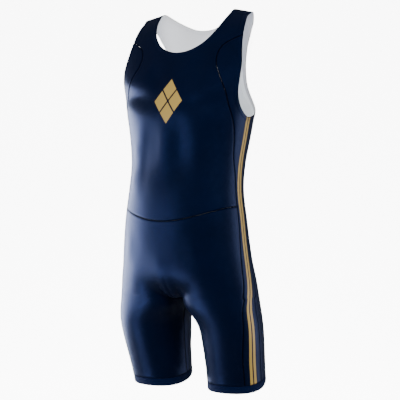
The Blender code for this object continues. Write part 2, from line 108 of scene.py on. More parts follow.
# Cut edges: height of the section at its centre line, and X for the neck;
# cloth between the side line and the edge for the armholes and the side panel's seams
neckFrontRows = [
    (-0.004, 0.0945), (-0.014, 0.0930), (-0.030, 0.0890), (-0.048, 0.0825),
    (-0.066, 0.0730), (-0.084, 0.0575), (-0.096, 0.0390), (-0.103, 0.0195), (-0.105, 0.0000),
]
neckBackRows = [
    (-0.004, 0.0945), (0.000, 0.0930), (-0.006, 0.0850), (-0.016, 0.0710),
    (-0.028, 0.0500), (-0.038, 0.0255), (-0.041, 0.0000),
]
armFrontRows = [
    (-0.004, 0.0340), (-0.020, 0.0430), (-0.039, 0.0500), (-0.072, 0.0600),
    (-0.100, 0.0635), (-0.148, 0.0660), (-0.180, 0.0610), (-0.205, 0.0540),
    (-0.228, 0.0410), (-0.2435, 0.0230), (-0.2500, 0.0088), (-0.2515, 0.0000),
]
armBackRows = [
    (-0.004, 0.0340), (0.000, 0.0390), (-0.018, 0.0580), (-0.048, 0.0790),
    (-0.090, 0.1040), (-0.130, 0.1180), (-0.170, 0.1130), (-0.203, 0.0935),
    (-0.227, 0.0675), (-0.2425, 0.0375), (-0.2495, 0.0145), (-0.2515, 0.0000),
]
panelRows = [
    (-0.070, 0.0625, 0.0860), (-0.078, 0.0830, 0.0910), (-0.087, 0.1000, 0.0965),
    (-0.095, 0.1100, 0.1015), (-0.105, 0.1170, 0.1100), (-0.120, 0.1230, 0.1220),
    (-0.140, 0.1230, 0.1330), (-0.163, 0.1110, 0.1360), (-0.185, 0.0960, 0.1300),
    (-0.205, 0.0830, 0.1160), (-0.228, 0.0710, 0.0950), (-0.265, 0.0510, 0.0640),
    (-0.300, 0.0410, 0.0460), (-0.340, 0.0330, 0.0350), (-0.380, 0.0210, 0.0240),
    (-0.410, 0.0165, 0.0180), (-0.480, 0.0165, 0.0180), (-0.530, 0.0190, 0.0200),
    (-0.590, 0.0240, 0.0240), (-0.672, 0.0210, 0.0260), (-0.730, 0.0230, 0.0280),
    (-0.780, 0.0250, 0.0280), (-0.874, 0.0220, 0.0260),
]
# One row above the first, straight on, so that the seam runs out into the armhole
panelRows.insert(0, tuple(2 * a - b for a, b in zip(panelRows[0], panelRows[1])))


def tableOf(columns, rows):
    # One array for each named column
    values = np.array(rows)
    return {name: values[:, number] for number, name in enumerate(columns)}


torso = tableOf(torsoColumns, torsoRows)
leg = tableOf(legColumns, legRows)
hemSection = suit["pelvisSection"] + len(legRows) - 1


def ease(value):
    # Smooth step from 0 to 1
    value = np.clip(value, 0.0, 1.0)
    return value * value * (3.0 - 2.0 * value)


def curveThrough(values, position, flatEnd=False):
    # Cubic through evenly numbered values, read at fractional row numbers
    position = np.clip(position, 0.0, len(values) - 1.0)
    row = np.minimum(position.astype(int), len(values) - 2)
    part = position - row
    slope = np.gradient(values)
    if flatEnd:
        slope[-1] = 0.0
    start, end = values[row], values[row + 1]
    return (
        start * (1 + 2 * part) * (1 - part) ** 2
        + end * part**2 * (3 - 2 * part)
        + slope[row] * part * (1 - part) ** 2
        - slope[row + 1] * part**2 * (1 - part)
    )


def torsoAt(section):
    return {name: curveThrough(torso[name], section)[:, None] for name in torsoColumns}


def legAt(section):
    position = section - suit["pelvisSection"]
    return {name: curveThrough(leg[name], position)[:, None] for name in legColumns}


def sideDepth(values, y):
    # Distance from the side line to the front or to the back of a section
    return np.where(y < 0, values["ySide"] - values["yFront"], values["yBack"] - values["ySide"])


def torsoPoints(section, count):
    # Half ovals |x/a|^n + |y/b|^n = 1 from the front centre to the back centre
    values = torsoAt(section)
    angle = np.linspace(0.0, np.pi, count)[None, :]
    power = values["squareness"]
    stretch = (np.sin(angle) ** power + np.abs(np.cos(angle)) ** power) ** (-1.0 / power)
    x = values["halfWidth"] * np.sin(angle) * stretch
    y = values["ySide"] - sideDepth(values, -np.cos(angle)) * np.cos(angle) * stretch
    depth = np.maximum(values["yBack"] - values["yFront"], 1e-9)
    backShare = np.clip((y - values["yFront"]) / depth, 0.0, 1.0)
    z = values["zFront"] + (values["zBack"] - values["zFront"]) * backShare
    fade = 1.0 - ease(section[:, None] / 7.0)
    z = z + suit["shoulderFall"] * (suit["strapMiddle"] ** 2 - x**2) * fade
    return np.stack([x, y, z], axis=-1), np.broadcast_to(angle, x.shape), np.pi / 2


def reachOfTorso(values, centreX, centreY, angle):
    # Distance from a leg's centre to the torso's oval, found by halving
    near = np.zeros_like(angle)
    far = np.full_like(angle, 0.5)
    for step in range(36):
        middle = (near + far) / 2
        x = centreX - middle * np.cos(angle)
        y = centreY - middle * np.sin(angle) - values["ySide"]
        power = values["squareness"]
        inside = (np.abs(x) / values["halfWidth"]) ** power + (
            np.abs(y) / sideDepth(values, y)
        ) ** power < 1
        near = np.where(inside, middle, near)
        far = np.where(inside, far, middle)
    return (near + far) / 2


def legXY(section, angle):
    # Polar outline round the leg's centre, turning from the torso's oval into the leg's own
    values = legAt(section)
    power = suit["legSquareness"]
    turned = angle - np.radians(values["turnOut"])
    round_ = (
        (np.abs(np.cos(turned)) / values["halfWidth"]) ** power
        + (np.abs(np.sin(turned)) / values["halfDepth"]) ** power
    ) ** (-1.0 / power)
    top = leg["z"][0]
    crotch = leg["z"][suit["crotchSection"] - suit["pelvisSection"]]
    innerShare = np.clip((top - values["z"]) / (top - crotch), 0.0, 1.0) ** 2
    outerShare = ease((top - values["z"]) / (top - suit["legBlendEnd"]))
    fromInseam = np.minimum(angle, 2 * np.pi - angle)
    lowAngle, highAngle = np.radians(suit["innerThighDegrees"])
    outer = ease((fromInseam - lowAngle) / (highAngle - lowAngle))
    share = (1 - outer) * innerShare + outer * outerShare
    oval = torsoAt(np.minimum(section, suit["crotchSection"]))
    reach = reachOfTorso(oval, values["centreX"], values["centreY"], angle)
    radius = (1 - share) * reach + share * round_
    return (
        values["centreX"] - radius * np.cos(angle),
        values["centreY"] - radius * np.sin(angle),
        values,
    )


def crossingAngle(section, low, high):
    # Angle at which the outline reaches the middle plane, above the crotch
    low = np.full((len(section), 1), low)
    high = np.full((len(section), 1), high)
    for step in range(30):
        middle = (low + high) / 2
        beyond = legXY(section, middle)[0] < 0
        low = np.where(beyond, middle, low)
        high = np.where(beyond, high, middle)
    return (low + high) / 2


def legPoints(section, count):
    # Outlines of one side below the hips: open at X = 0 above the crotch, closed below it
    above = (section < suit["crotchSection"])[:, None]
    first = np.where(above, crossingAngle(section, 0.0, np.pi / 2), 0.0)
    last = np.where(above, crossingAngle(section, 2 * np.pi, 1.5 * np.pi), 2 * np.pi)
    angle = first + (last - first) * np.linspace(0.0, 1.0, count)[None, :]
    x, y, values = legXY(section, angle)
    x = np.where(above & ((angle == first) | (angle == last)), 0.0, x)
    backShare = np.maximum((y - values["centreY"]) / (2 * values["halfDepth"]) + 0.5, 0.0)
    z = values["z"] + values["hemRise"] * (backShare**2 - 0.25)
    return np.stack([x, y, z], axis=-1), angle, np.pi - np.radians(values["sideTurn"][:, 0])


def evenRings(points, angle, sideAngle, count):
    # The same outlines with points at equal steps of girth; gives girth and side share too
    steps = np.linalg.norm(np.diff(points, axis=1), axis=2)
    along = np.concatenate([np.zeros((len(points), 1)), np.cumsum(steps, axis=1)], axis=1)
    even = np.linspace(0.0, 1.0, count)
    sideAngle = np.broadcast_to(sideAngle, len(points))
    rings = np.array([
        [np.interp(even * length[-1], length, ring[:, axis]) for axis in range(3)]
        for ring, length in zip(points, along)
    ]).transpose(0, 2, 1)
    side = np.array([
        np.interp(turn, row, length) / length[-1]
        for turn, row, length in zip(sideAngle, angle, along)
    ])
    return rings, along[:, -1], side


def blurredDown(values, width):
    # Gaussian average down the rows; the width is in sections
    reach = int(3 * width * suit["stepsPerSection"])
    offsets = np.arange(-reach, reach + 1)
    weights = np.exp(-0.5 * (offsets / (width * suit["stepsPerSection"])) ** 2)
    weights /= weights.sum()
    around = [(reach, reach)] + [(0, 0)] * (values.ndim - 1)
    padded = np.pad(values, around, "reflect", reflect_type="odd")
    return sum(
        weight * padded[reach + offset:reach + offset + len(values)]
        for weight, offset in zip(weights, offsets)
    )


def smoothedDown(rings, sections):
    # Soft averaging down the cloth, left out round the crotch, where the legs part
    soft = blurredDown(rings, suit["smoothing"])
    share = np.linspace(0.0, 1.0, rings.shape[1])[None, :]
    middle = np.minimum(share, 1 - share)
    down = sections[:, None]
    fromCrotch = (down - suit["crotchSection"]) / suit["crotchKeptDown"]
    keep = np.exp(-(fromCrotch**2) - (middle / suit["crotchKeptRound"]) ** 2)
    keep = np.maximum(keep, 1 - ease(down))[..., None]
    return rings * keep + soft * (1 - keep)


def makeForm():
    # The dense form of the wearer's left half: sections down, equal steps of girth round
    sections = np.linspace(0.0, hemSection, hemSection * suit["stepsPerSection"] + 1)
    upper = sections <= suit["pelvisSection"]
    dense = 3 * suit["ringPoints"]
    torsoPart = evenRings(*torsoPoints(sections[upper], dense), suit["ringPoints"])
    legPart = evenRings(*legPoints(sections[~upper], dense), suit["ringPoints"])
    rings, girth, side = [np.concatenate(pair) for pair in zip(torsoPart, legPart)]
    rings = smoothedDown(rings, sections)
    # The thighs' own crease beside the crotch is eased, all but the cloth where they part
    share = np.linspace(0.0, 1.0, suit["ringPoints"])
    fromInseam = np.minimum(share, 1 - share) - suit["crotchEaseFrom"]
    middle = ease(fromInseam / suit["crotchEaseOver"])
    fromCrotch = sections - suit["crotchSection"]
    nearCrotch = np.exp(-((fromCrotch / suit["crotchEaseDown"]) ** 2))
    eased = (nearCrotch[:, None] * middle[None, :])[..., None]
    rings = rings * (1 - eased) + blurredDown(rings, suit["crotchEaseBlur"]) * eased
    # The side line runs straighter past the hips
    nearHips = np.exp(-((fromCrotch / suit["sideLineEaseDown"]) ** 2))
    side = side * (1 - nearHips) + blurredDown(side, suit["sideLineEaseBlur"]) * nearHips
    down = np.linalg.norm(np.diff(rings, axis=0), axis=2)[:, suit["ringPoints"] // 3]
    return {
        "sections": sections,
        "rings": rings,
        "girth": girth,
        "side": side,
        "down": np.concatenate([[0.0], np.cumsum(down)]),
    }


form = makeForm()
crotchRow = suit["crotchSection"] * suit["stepsPerSection"]
mirrored = np.array([-1.0, 1.0, 1.0])


def outwardNormals(rings):
    # Cross product of the steps down and round; the middle plane mirrors, the legs close
    above = (np.arange(len(rings)) < crotchRow)[:, None]
    before = np.where(above, rings[:, 1] * mirrored, rings[:, -2])
    after = np.where(above, rings[:, -2] * mirrored, rings[:, 1])
    wide = np.concatenate([before[:, None], rings, after[:, None]], axis=1)
    around = wide[:, 2:] - wide[:, :-2]
    normals = np.cross(np.gradient(rings, axis=0), around)
    normals /= np.maximum(np.linalg.norm(normals, axis=2, keepdims=True), 1e-12)
    # The strap's top is one line for front and back
    shoulder = normals[0] + normals[0, ::-1]
    normals[0] = shoulder / np.linalg.norm(shoulder, axis=1, keepdims=True)
    return normals


# Soft tension folds. face 1 is the front and -1 the back; x is cloth from its centre line,
# plus towards the wearer's left; a ridge has a plus height and a trough a minus one
foldShape = {"strength": 1.15, "shoulder": 0.22, "shoulderAt": 2.1, "taper": 1.3}
foldColumns = ["face", "x1", "z1", "x2", "z2", "bend", "width", "height"]
foldRows = [
    (1, -0.002, -0.712, -0.008, -0.545, 0.002, 0.0210, 0.0024),
    (1, -0.034, -0.684, -0.092, -0.606, -0.006, 0.0180, -0.0010),
    (1, 0.036, -0.680, 0.094, -0.608, 0.008, 0.0180, -0.0011),
    (1, -0.060, -0.640, -0.112, -0.545, 0.010, 0.0280, 0.0008),
    (1, 0.046, -0.644, 0.116, -0.556, -0.010, 0.0240, 0.0012),
    (1, -0.185, -0.206, -0.018, -0.222, 0.010, 0.0170, -0.0028),
    (1, -0.165, -0.176, -0.030, -0.186, 0.012, 0.0300, 0.0026),
    (1, 0.020, -0.222, 0.170, -0.208, -0.010, 0.0170, -0.0026),
    (1, 0.034, -0.186, 0.150, -0.178, -0.010, 0.0300, 0.0026),
    (1, -0.078, -0.225, -0.090, -0.450, 0.010, 0.0260, 0.0018),
    (1, -0.046, -0.250, -0.056, -0.445, -0.006, 0.0150, -0.0014),
    (1, -0.092, -0.300, -0.096, -0.352, 0.004, 0.0110, 0.0006),
    (1, -0.088, -0.368, -0.096, -0.420, -0.004, 0.0110, 0.0007),
    (1, -0.008, -0.235, -0.014, -0.400, 0.005, 0.0160, 0.0020),
    (1, 0.030, -0.225, 0.024, -0.430, 0.008, 0.0200, -0.0024),
    (1, 0.082, -0.262, 0.100, -0.446, -0.010, 0.0180, 0.0018),
    (1, -0.070, -0.140, -0.016, -0.170, -0.006, 0.0140, -0.0012),
    (1, 0.030, -0.130, 0.084, -0.158, 0.006, 0.0140, -0.0011),
    (1, -0.102, -0.500, -0.112, -0.590, 0.006, 0.0140, 0.0010),
    (1, 0.078, -0.506, 0.092, -0.600, -0.006, 0.0150, 0.0010),
    (-1, -0.150, -0.392, -0.020, -0.402, -0.009, 0.0100, -0.0020),
    (-1, 0.012, -0.410, 0.148, -0.396, 0.008, 0.0105, -0.0021),
    (-1, -0.128, -0.424, 0.030, -0.434, 0.006, 0.0110, -0.0017),
    (-1, -0.020, -0.376, 0.110, -0.370, -0.006, 0.0090, -0.0014),
    (-1, -0.118, -0.358, -0.034, -0.354, 0.005, 0.0085, -0.0011),
    (-1, 0.052, -0.446, 0.150, -0.438, 0.006, 0.0090, -0.0012),
    (-1, -0.120, -0.662, -0.022, -0.676, 0.012, 0.0095, -0.0019),
    (-1, 0.024, -0.678, 0.124, -0.660, -0.013, 0.0100, -0.0018),
    (-1, -0.016, -0.640, -0.070, -0.600, -0.008, 0.0090, -0.0013),
    (-1, 0.018, -0.644, 0.064, -0.606, 0.008, 0.0090, -0.0012),
    (-1, -0.006, -0.560, -0.004, -0.640, 0.002, 0.0120, -0.0020),
    (-1, -0.145, -0.700, -0.060, -0.712, 0.007, 0.0100, -0.0012),
    (-1, 0.058, -0.716, 0.140, -0.702, -0.006, 0.0100, -0.0013),
    (-1, -0.118, -0.250, -0.062, -0.330, 0.008, 0.0120, -0.0012),
    (-1, 0.064, -0.336, 0.122, -0.246, 0.008, 0.0120, -0.0013),
    (-1, -0.040, -0.120, -0.086, -0.190, 0.006, 0.0130, 0.0010),
    (-1, 0.044, -0.118, 0.090, -0.196, -0.006, 0.0130, 0.0010),
]


def foldHeights(points, across, towards):
    # Each fold is a Gaussian ridge about a bent line, tapered at both ends, with a faint
    # opposite shoulder on each side, as stretched cloth has
    height = np.zeros(points.shape[:2])
    z = points[..., 2]
    for row in foldRows:
        fold = dict(zip(foldColumns, row))
        distance = across["front" if fold["face"] > 0 else "back"] * towards
        length = np.hypot(fold["x2"] - fold["x1"], fold["z2"] - fold["z1"])
        alongX = (fold["x2"] - fold["x1"]) / length
        alongZ = (fold["z2"] - fold["z1"]) / length
        part = ((distance - fold["x1"]) * alongX + (z - fold["z1"]) * alongZ) / length
        inside = np.clip(part, 0.0, 1.0)
        off = (z - fold["z1"]) * alongX - (distance - fold["x1"]) * alongZ
        off = np.abs(off - fold["bend"] * 4 * inside * (1 - inside)) / fold["width"]
        shoulder = np.exp(-((off - foldShape["shoulderAt"]) ** 2))
        profile = np.exp(-off**2) - foldShape["shoulder"] * shoulder
        taper = np.sin(np.pi * inside) ** foldShape["taper"]
        facing = across["isFront"] if fold["face"] > 0 else 1 - across["isFront"]
        height += foldShape["strength"] * fold["height"] * profile * taper * facing
    return height


def clothCoordinates():
    # Cloth from the front and back centre lines, and which half of the ring is the front
    share = np.linspace(0.0, 1.0, suit["ringPoints"])[None, :]
    girth = form["girth"][:, None]
    fromSide = (share - form["side"][:, None]) * girth
    return {
        "front": share * girth,
        "back": (1 - share) * girth,
        "isFront": 1 - ease(fromSide / 0.03 + 0.5),
    }


def foldedForms():
    # Left and right forms, each with its own folds, kept as points and outward normals
    across = clothCoordinates()
    flat = outwardNormals(form["rings"])
    forms = {}
    for name, towards in (("left", 1.0), ("right", -1.0)):
        height = foldHeights(form["rings"], across, towards)
        points = form["rings"] + flat * height[..., None]
        forms[name] = {"points": points, "normals": outwardNormals(points)}
    # The middle plane is one line for both sides
    for column in (0, -1):
        for field in ("points", "normals"):
            left = forms["left"][field][:crotchRow, column]
            right = forms["right"][field][:crotchRow, column]
            middle = (left + right) / 2
            middle[:, 0] = 0.0
            left[:] = middle
            right[:] = middle
    forms["right"] = {field: values * mirrored for field, values in forms["right"].items()}
    for sideForm in forms.values():
        length = np.linalg.norm(sideForm["normals"], axis=2, keepdims=True)
        sideForm["normals"] = sideForm["normals"] / np.maximum(length, 1e-12)
    return forms


forms = foldedForms()
print("form ready:", form["rings"].shape)


def readForm(field, section, share):
    # Bilinear reading of a field at fractional sections and shares
    section, share = np.broadcast_arrays(section, share)
    row = np.interp(section, form["sections"], np.arange(len(form["sections"])))
    row = np.clip(row, 0, len(field) - 1.000001)
    column = np.clip(share * (field.shape[1] - 1), 0, field.shape[1] - 1.000001)
    low, left = row.astype(int), column.astype(int)
    down, across = (row - low)[..., None], (column - left)[..., None]
    upper = field[low, left] * (1 - across) + field[low, left + 1] * across
    lower = field[low + 1, left] * (1 - across) + field[low + 1, left + 1] * across
    return upper * (1 - down) + lower * down


def sectionAt(height, back=False):
    # Section numbers at heights of the front centre line, or of the back one
    upper = np.linspace(0.0, suit["pelvisSection"], suit["pelvisSection"] * 80 + 1)
    lower = np.linspace(0.0, len(legRows) - 1.0, 641)
    line = np.concatenate([
        curveThrough(torso["zBack" if back else "zFront"], upper)[:-1],
        curveThrough(leg["z"], lower),
    ])
    numbers = np.concatenate([upper[:-1], lower + suit["pelvisSection"]])
    start = int(np.argmax(line))
    found = np.interp(-np.asarray(height, float), -line[start:], numbers[start:])
    return np.where(np.isclose(height, torsoRows[0][0]), 0.0, found)


def edgeValue(rows, column, sections, back, flatEnd=False):
    # A tabled edge as one smooth curve in the flat, read where it crosses the sections
    values = np.array(rows)
    numbers = sectionAt(values[:, 0], back)
    position = np.linspace(0.0, len(values) - 1.0, 60 * len(values))
    down = np.maximum.accumulate(curveThrough(numbers, position, flatEnd))
    return np.interp(sections, down, curveThrough(values[:, column], position))


def girthAt(sections):
    return np.interp(sections, form["sections"], form["girth"])


def sideAt(sections):
    return np.interp(sections, form["sections"], form["side"])


def neckShare(sections, back):
    # Share of the half girth at which each section reaches the neck edge's X
    wanted = edgeValue(neckBackRows if back else neckFrontRows, 1, sections, back, True)
    share = np.linspace(0.0, 1.0, suit["ringPoints"])
    rings = readForm(form["rings"], np.asarray(sections)[:, None], share[None, :])[..., 0]
    found = []
    for ring, x in zip(rings, wanted):
        widest = int(np.argmax(ring))
        if back:
            found.append(np.interp(x, ring[widest:][::-1], share[widest:][::-1]))
        else:
            found.append(np.interp(x, ring[:widest + 1], share[:widest + 1]))
    return np.array(found)


def armReach(sections, back):
    return edgeValue(armBackRows if back else armFrontRows, 1, sections, back, True)


def panelReach(sections, back):
    return edgeValue(panelRows, 2 if back else 1, sections, back)


def besideSide(sections, reach, back):
    # Share at a distance along the cloth from the side line
    offset = reach / girthAt(sections)
    return sideAt(sections) + offset if back else sideAt(sections) - offset


def shiftedDown(section, distance):
    # A section number moved down the cloth by a distance
    down = np.interp(section, form["sections"], form["down"]) + distance
    return np.interp(down, form["down"], form["sections"])


# Cloth from an edge to its close rows and columns, so that hems and seams keep their shape
edgeSteps = np.array([
    0.0, 0.0003, 0.0008, 0.0015, 0.003, 0.005, 0.007, 0.0082, 0.0092, 0.0102, 0.012,
])
leastStep = 0.0002


def spaced(start, end, step, closeStart=0.0, closeEnd=0.0):
    # Section numbers from start to end at about one step of cloth, closer near an edge
    low, high = np.interp([start, end], form["sections"], form["down"])
    even = np.linspace(low, high, max(3, int(np.ceil((high - low) / step)) + 1))
    extra = [even]
    near = edgeSteps[1:]
    if closeStart:
        extra.append(low + near[near < closeStart])
    if closeEnd:
        extra.append(high - near[near < closeEnd])
    down = np.sort(np.concatenate(extra))
    keep = np.concatenate([[True], np.diff(down) > leastStep])
    keep[-1] = True
    down = down[keep]
    if len(down) > 2 and down[-1] - down[-2] < leastStep:
        down = np.delete(down, -2)
    return np.interp(down, form["down"], form["sections"])


def acrossRow(inner, outer, girth, step):
    # Shares across a panel: fixed small steps beside both edges, even ones between
    width = np.abs(outer - inner) * girth
    columns = int(np.ceil(width.max() / step))
    scale = np.minimum(1.0, 0.42 * width / edgeSteps[-1])[:, None]
    near = edgeSteps[None, :] * scale
    middle = np.linspace(0.0, 1.0, columns + 1)[None, 1:-1]
    inside = near[:, -1:] + (width[:, None] - 2 * near[:, -1:]) * middle
    distance = np.concatenate([near, inside, width[:, None] - near[:, ::-1]], axis=1)
    return inner[:, None] + np.sign(outer - inner)[:, None] * distance / girth[:, None]


def waistShift(back):
    # How far the waist seam's section dips at the centre line
    dip = suit["waistDipBack"] if back else suit["waistDipFront"]
    ends = sectionAt(np.array([suit["waistHeight"], suit["waistHeight"] - dip]), back)
    return ends[1] - ends[0]


def dippedRows(sections, share, outer, back, above):
    # Rows near the waist sag towards the centre as the seam does
    waist = sectionAt(suit["waistHeight"], back)
    if above:
        top = sectionAt(suit["waistDipStart"], back)
        amount = ease((sections - top) / (waist - top))
    else:
        bottom = sectionAt(suit["waistDipEnd"], back)
        amount = 1 - ease((sections - waist) / (bottom - waist))
    centre = 1.0 if back else 0.0
    fromCentre = np.clip((share - centre) / (outer[:, None] - centre), 0.0, 1.0)
    sag = np.cos(fromCentre * np.pi / 2) ** 2
    return sections[:, None] + waistShift(back) * amount[:, None] * sag


def gridPiece(sideName, sections, share, uStart, back=False):
    # A grid of form points with normals, flat coordinates and its section and share
    sections, share = np.broadcast_arrays(sections, share)
    toward = 1.0 if sideName == "left" else -1.0
    girth = girthAt(sections)
    if uStart == "side":
        u = (share - sideAt(sections)) * girth
    elif uStart == "back":
        u = (1 - share) * girth
    else:
        u = share * girth
    return {
        "points": readForm(forms[sideName]["points"], sections, share),
        "normals": readForm(forms[sideName]["normals"], sections, share),
        "u": u * toward,
        "v": np.interp(sections, form["sections"], form["down"]),
        "flip": (toward < 0) != back,
    }


def bothGrids(rows, share, back):
    # The left and right halves of a panel that meet at its centre line
    uStart = "back" if back else "front"
    return [gridPiece(sideName, rows, share, uStart, back) for sideName in ("left", "right")]


def joinGrids(grids, welds=()):
    # Grids as one surface. A weld names two grids, their columns and the first row shared
    starts = np.cumsum([0] + [grid["v"].size for grid in grids])
    alias = np.arange(starts[-1])
    faces = []
    for grid, start in zip(grids, starts):
        rows, columns = grid["v"].shape
        index = start + np.arange(rows * columns).reshape(rows, columns)
        quad = np.stack([index[:-1, :-1], index[1:, :-1], index[1:, 1:], index[:-1, 1:]], axis=-1)
        quad = quad.reshape(-1, 4)
        faces.append(quad[:, ::-1] if grid["flip"] else quad)
        grid["index"] = index
    for first, firstColumn, second, secondColumn, count in welds:
        kept = grids[first]["index"][-count:, firstColumn]
        alias[grids[second]["index"][-count:, secondColumn]] = kept
    faces = alias[np.concatenate(faces)]
    used = np.unique(faces)
    lookup = np.zeros(starts[-1], int)
    lookup[used] = np.arange(len(used))
    flat = {
        name: np.concatenate([grid[name].reshape(-1, grid[name].shape[-1])
                              if name in ("points", "normals") else grid[name].ravel()
                              for grid in grids])[used]
        for name in ("points", "normals", "u", "v")
    }
    return flat, lookup[faces]


def distanceToPath(points, path):
    # Shortest distance from each point to a line of short straight pieces, block by block
    start, step = path[:-1], np.diff(path, axis=0)
    length = np.maximum((step**2).sum(axis=1), 1e-12)
    nearest = []
    for block in np.array_split(points, max(1, len(points) // 1500)):
        away = block[:, None, :] - start[None]
        part = np.clip((away * step[None]).sum(axis=2) / length[None], 0.0, 1.0)
        away = away - part[..., None] * step[None]
        nearest.append(np.sqrt((away**2).sum(axis=2).min(axis=1)))
    return np.concatenate(nearest)


# The knit's own sizes, in metres
cloth = {
    "middle": 0.0007,
    "halfThickness": 0.00042,
    "hemDepth": 0.0092,
    "hemStep": 0.0010,
    "hemExtra": 0.00042,
    "edgeRound": 0.0011,
    "seamRound": 0.0003,
    "seamSink": 0.00060,
    "seamSinkReach": 0.0026,
    "seamRidge": 0.00010,
    "seamRidgeAt": 0.0046,
    "seamRidgeWidth": 0.002,
    "puckerHeight": 0.00012,
    "puckerReach": 0.010,
    "puckerHemSet": 0.004,
    "puckerSpacing": 0.0135,
    "step": 0.0030,
}


def roundedEdge(distance, radius):
    # Quarter-round wall thickness towards a free edge
    inside = np.clip(distance / radius, 0.0, 1.0)
    return np.maximum(np.sqrt(1 - (1 - inside) ** 2), 0.16)


def clothHeights(points, u, v, hems, seams):
    # Outer and inner offsets of the wall, from the distances to hems and to seams
    half = np.full(len(points), cloth["halfThickness"])
    middle = np.full(len(points), cloth["middle"])
    rounded = np.ones(len(points))
    hemDistance = np.full(len(points), 1.0)
    seamDistance = np.full(len(points), 1.0)
    for path in hems:
        hemDistance = np.minimum(hemDistance, distanceToPath(points, path))
    for path in seams:
        seamDistance = np.minimum(seamDistance, distanceToPath(points, path))
    turned = 1 - ease((hemDistance - cloth["hemDepth"]) / cloth["hemStep"] + 0.5)
    half = half + cloth["hemExtra"] * turned
    rounded = np.minimum(rounded, roundedEdge(hemDistance, cloth["edgeRound"]))
    rounded = np.minimum(rounded, roundedEdge(seamDistance, cloth["seamRound"]))
    sink = cloth["seamSink"] * np.exp(-((seamDistance / cloth["seamSinkReach"]) ** 2))
    fromRidge = (seamDistance - cloth["seamRidgeAt"]) / cloth["seamRidgeWidth"]
    ridge = cloth["seamRidge"] * np.exp(-(fromRidge**2))
    # Puckers: a slanting sine whose pitch and height both wander, strongest at the edges
    phase = 2 * np.pi * (u + 1.7 * v) / cloth["puckerSpacing"]
    wander = 2.3 * np.sin(phase * 0.37 + 1.0)
    ripple = np.sin(phase + wander) * (0.6 + 0.4 * np.sin(phase * 0.21))
    fromEdge = np.minimum(seamDistance, hemDistance + cloth["puckerHemSet"])
    near = np.exp(-fromEdge / cloth["puckerReach"])
    middle = middle + ridge - sink + cloth["puckerHeight"] * ripple * near
    return middle + half * rounded, middle - half * rounded, seamDistance, hemDistance


def makeShell(name, grids, welds, hems, seams, materials):
    # A closed thin shell: outer surface, reversed inner surface and the rim between them
    flat, faces = joinGrids(grids, welds)
    outer, inner, seamDistance, hemDistance = clothHeights(
        flat["points"], flat["u"], flat["v"], hems, seams
    )
    count = len(flat["points"])
    edges = np.stack([faces, np.roll(faces, -1, axis=1)], axis=-1).reshape(-1, 2)
    key = np.sort(edges, axis=1)
    _, first, uses = np.unique(key, axis=0, return_index=True, return_counts=True)
    rim = edges[first[uses == 1]]
    rimFaces = np.stack([rim[:, 1], rim[:, 0], rim[:, 0] + count, rim[:, 1] + count], axis=1)
    verts = np.concatenate([
        flat["points"] + flat["normals"] * outer[:, None],
        flat["points"] + flat["normals"] * inner[:, None],
    ])
    allFaces = np.concatenate([faces, faces[:, ::-1] + count, rimFaces])
    slots = np.concatenate([
        np.zeros(len(faces), int), np.ones(len(faces), int), np.zeros(len(rimFaces), int),
    ])
    mesh = bpy.data.meshes.new(name)
    mesh.from_pydata(verts, [], allFaces)
    mesh.polygons.foreach_set("material_index", slots.astype(np.int32))
    uv = np.tile(np.stack([flat["u"], flat["v"]], axis=1), (2, 1))
    layer = mesh.uv_layers.new(name="clothFlat")
    layer.data.foreach_set("uv", uv[allFaces.ravel()].astype(np.float32).ravel())
    for label, values in (("seamDistance", seamDistance), ("hemDistance", hemDistance)):
        attribute = mesh.attributes.new(label, "FLOAT", "POINT")
        attribute.data.foreach_set("value", np.tile(values, 2).astype(np.float32))
    mesh.shade_smooth()
    mesh.update()
    piece = bpy.data.objects.new(name, mesh)
    bpy.context.scene.collection.objects.link(piece)
    for material in materials:
        mesh.materials.append(material)
    print("  ", name, len(allFaces), "faces")
    return piece


def pathAt(sideName, sections, share, lift=0.0):
    # Points of a line on the form, lifted along its normals
    points = readForm(forms[sideName]["points"], sections, share)
    normals = readForm(forms[sideName]["normals"], sections, share)
    return points + normals * lift


def lineAlong(kind, back):
    # Lines on the cloth, as sections and shares, that panels, hems and stitches share
    if kind == "neck":
        end = sectionAt(neckBackRows[-1][0] if back else neckFrontRows[-1][0], back)
        part = np.sin(np.linspace(0.0, np.pi / 2, 150))
        sections = end * part
        return sections, neckShare(sections, back)
    if kind == "arm":
        part = np.sin(np.linspace(0.0, np.pi / 2, 220))
        sections = sectionAt(armFrontRows[-1][0], back) * part
        return sections, besideSide(sections, armReach(sections, back), back)
    if kind == "panel":
        sections = np.linspace(panelTip(back), hemTop, 420)
        return sections, besideSide(sections, panelReach(sections, back), back)
    if kind == "waist":
        waist = float(sectionAt(suit["waistHeight"], back))
        outer = besideSide(np.array([waist]), panelReach(np.array([waist]), back), back)
        centre = 1.0 if back else 0.0
        share = centre + (outer[0] - centre) * np.linspace(0.0, 1.0, 150)
        rows = dippedRows(np.array([waist]), share[None, :], outer, back, True)[0]
        return rows, share
    if kind == "inseam":
        sections = np.linspace(suit["crotchSection"], hemTop, 120)
        return sections, np.full(120, 1.0 if back else 0.0)
    if kind == "shoulder":
        inner = neckShare(np.array([0.0]), back)[0]
        outer = besideSide(np.array([0.0]), armReach(np.array([0.0]), back), back)[0]
        return np.zeros(40), np.linspace(inner, outer, 40)
    share = np.linspace(0.0, 1.0, 260)
    return np.full(260, hemTop if kind == "bandTop" else float(hemSection)), share


def panelTip(back):
    # Section at which the side panel's seam leaves the armhole
    sections = np.linspace(2.0, 6.0, 2001)
    beyond = panelReach(sections, back) > armReach(sections, back)
    return sections[int(np.argmax(beyond))]


hemTop = float(shiftedDown(float(hemSection), -suit["hemDepth"]))


def linePoints(kind, back, sideName):
    return pathAt(sideName, *lineAlong(kind, back))


def bothSides(kind, back):
    return [linePoints(kind, back, sideName) for sideName in ("left", "right")]


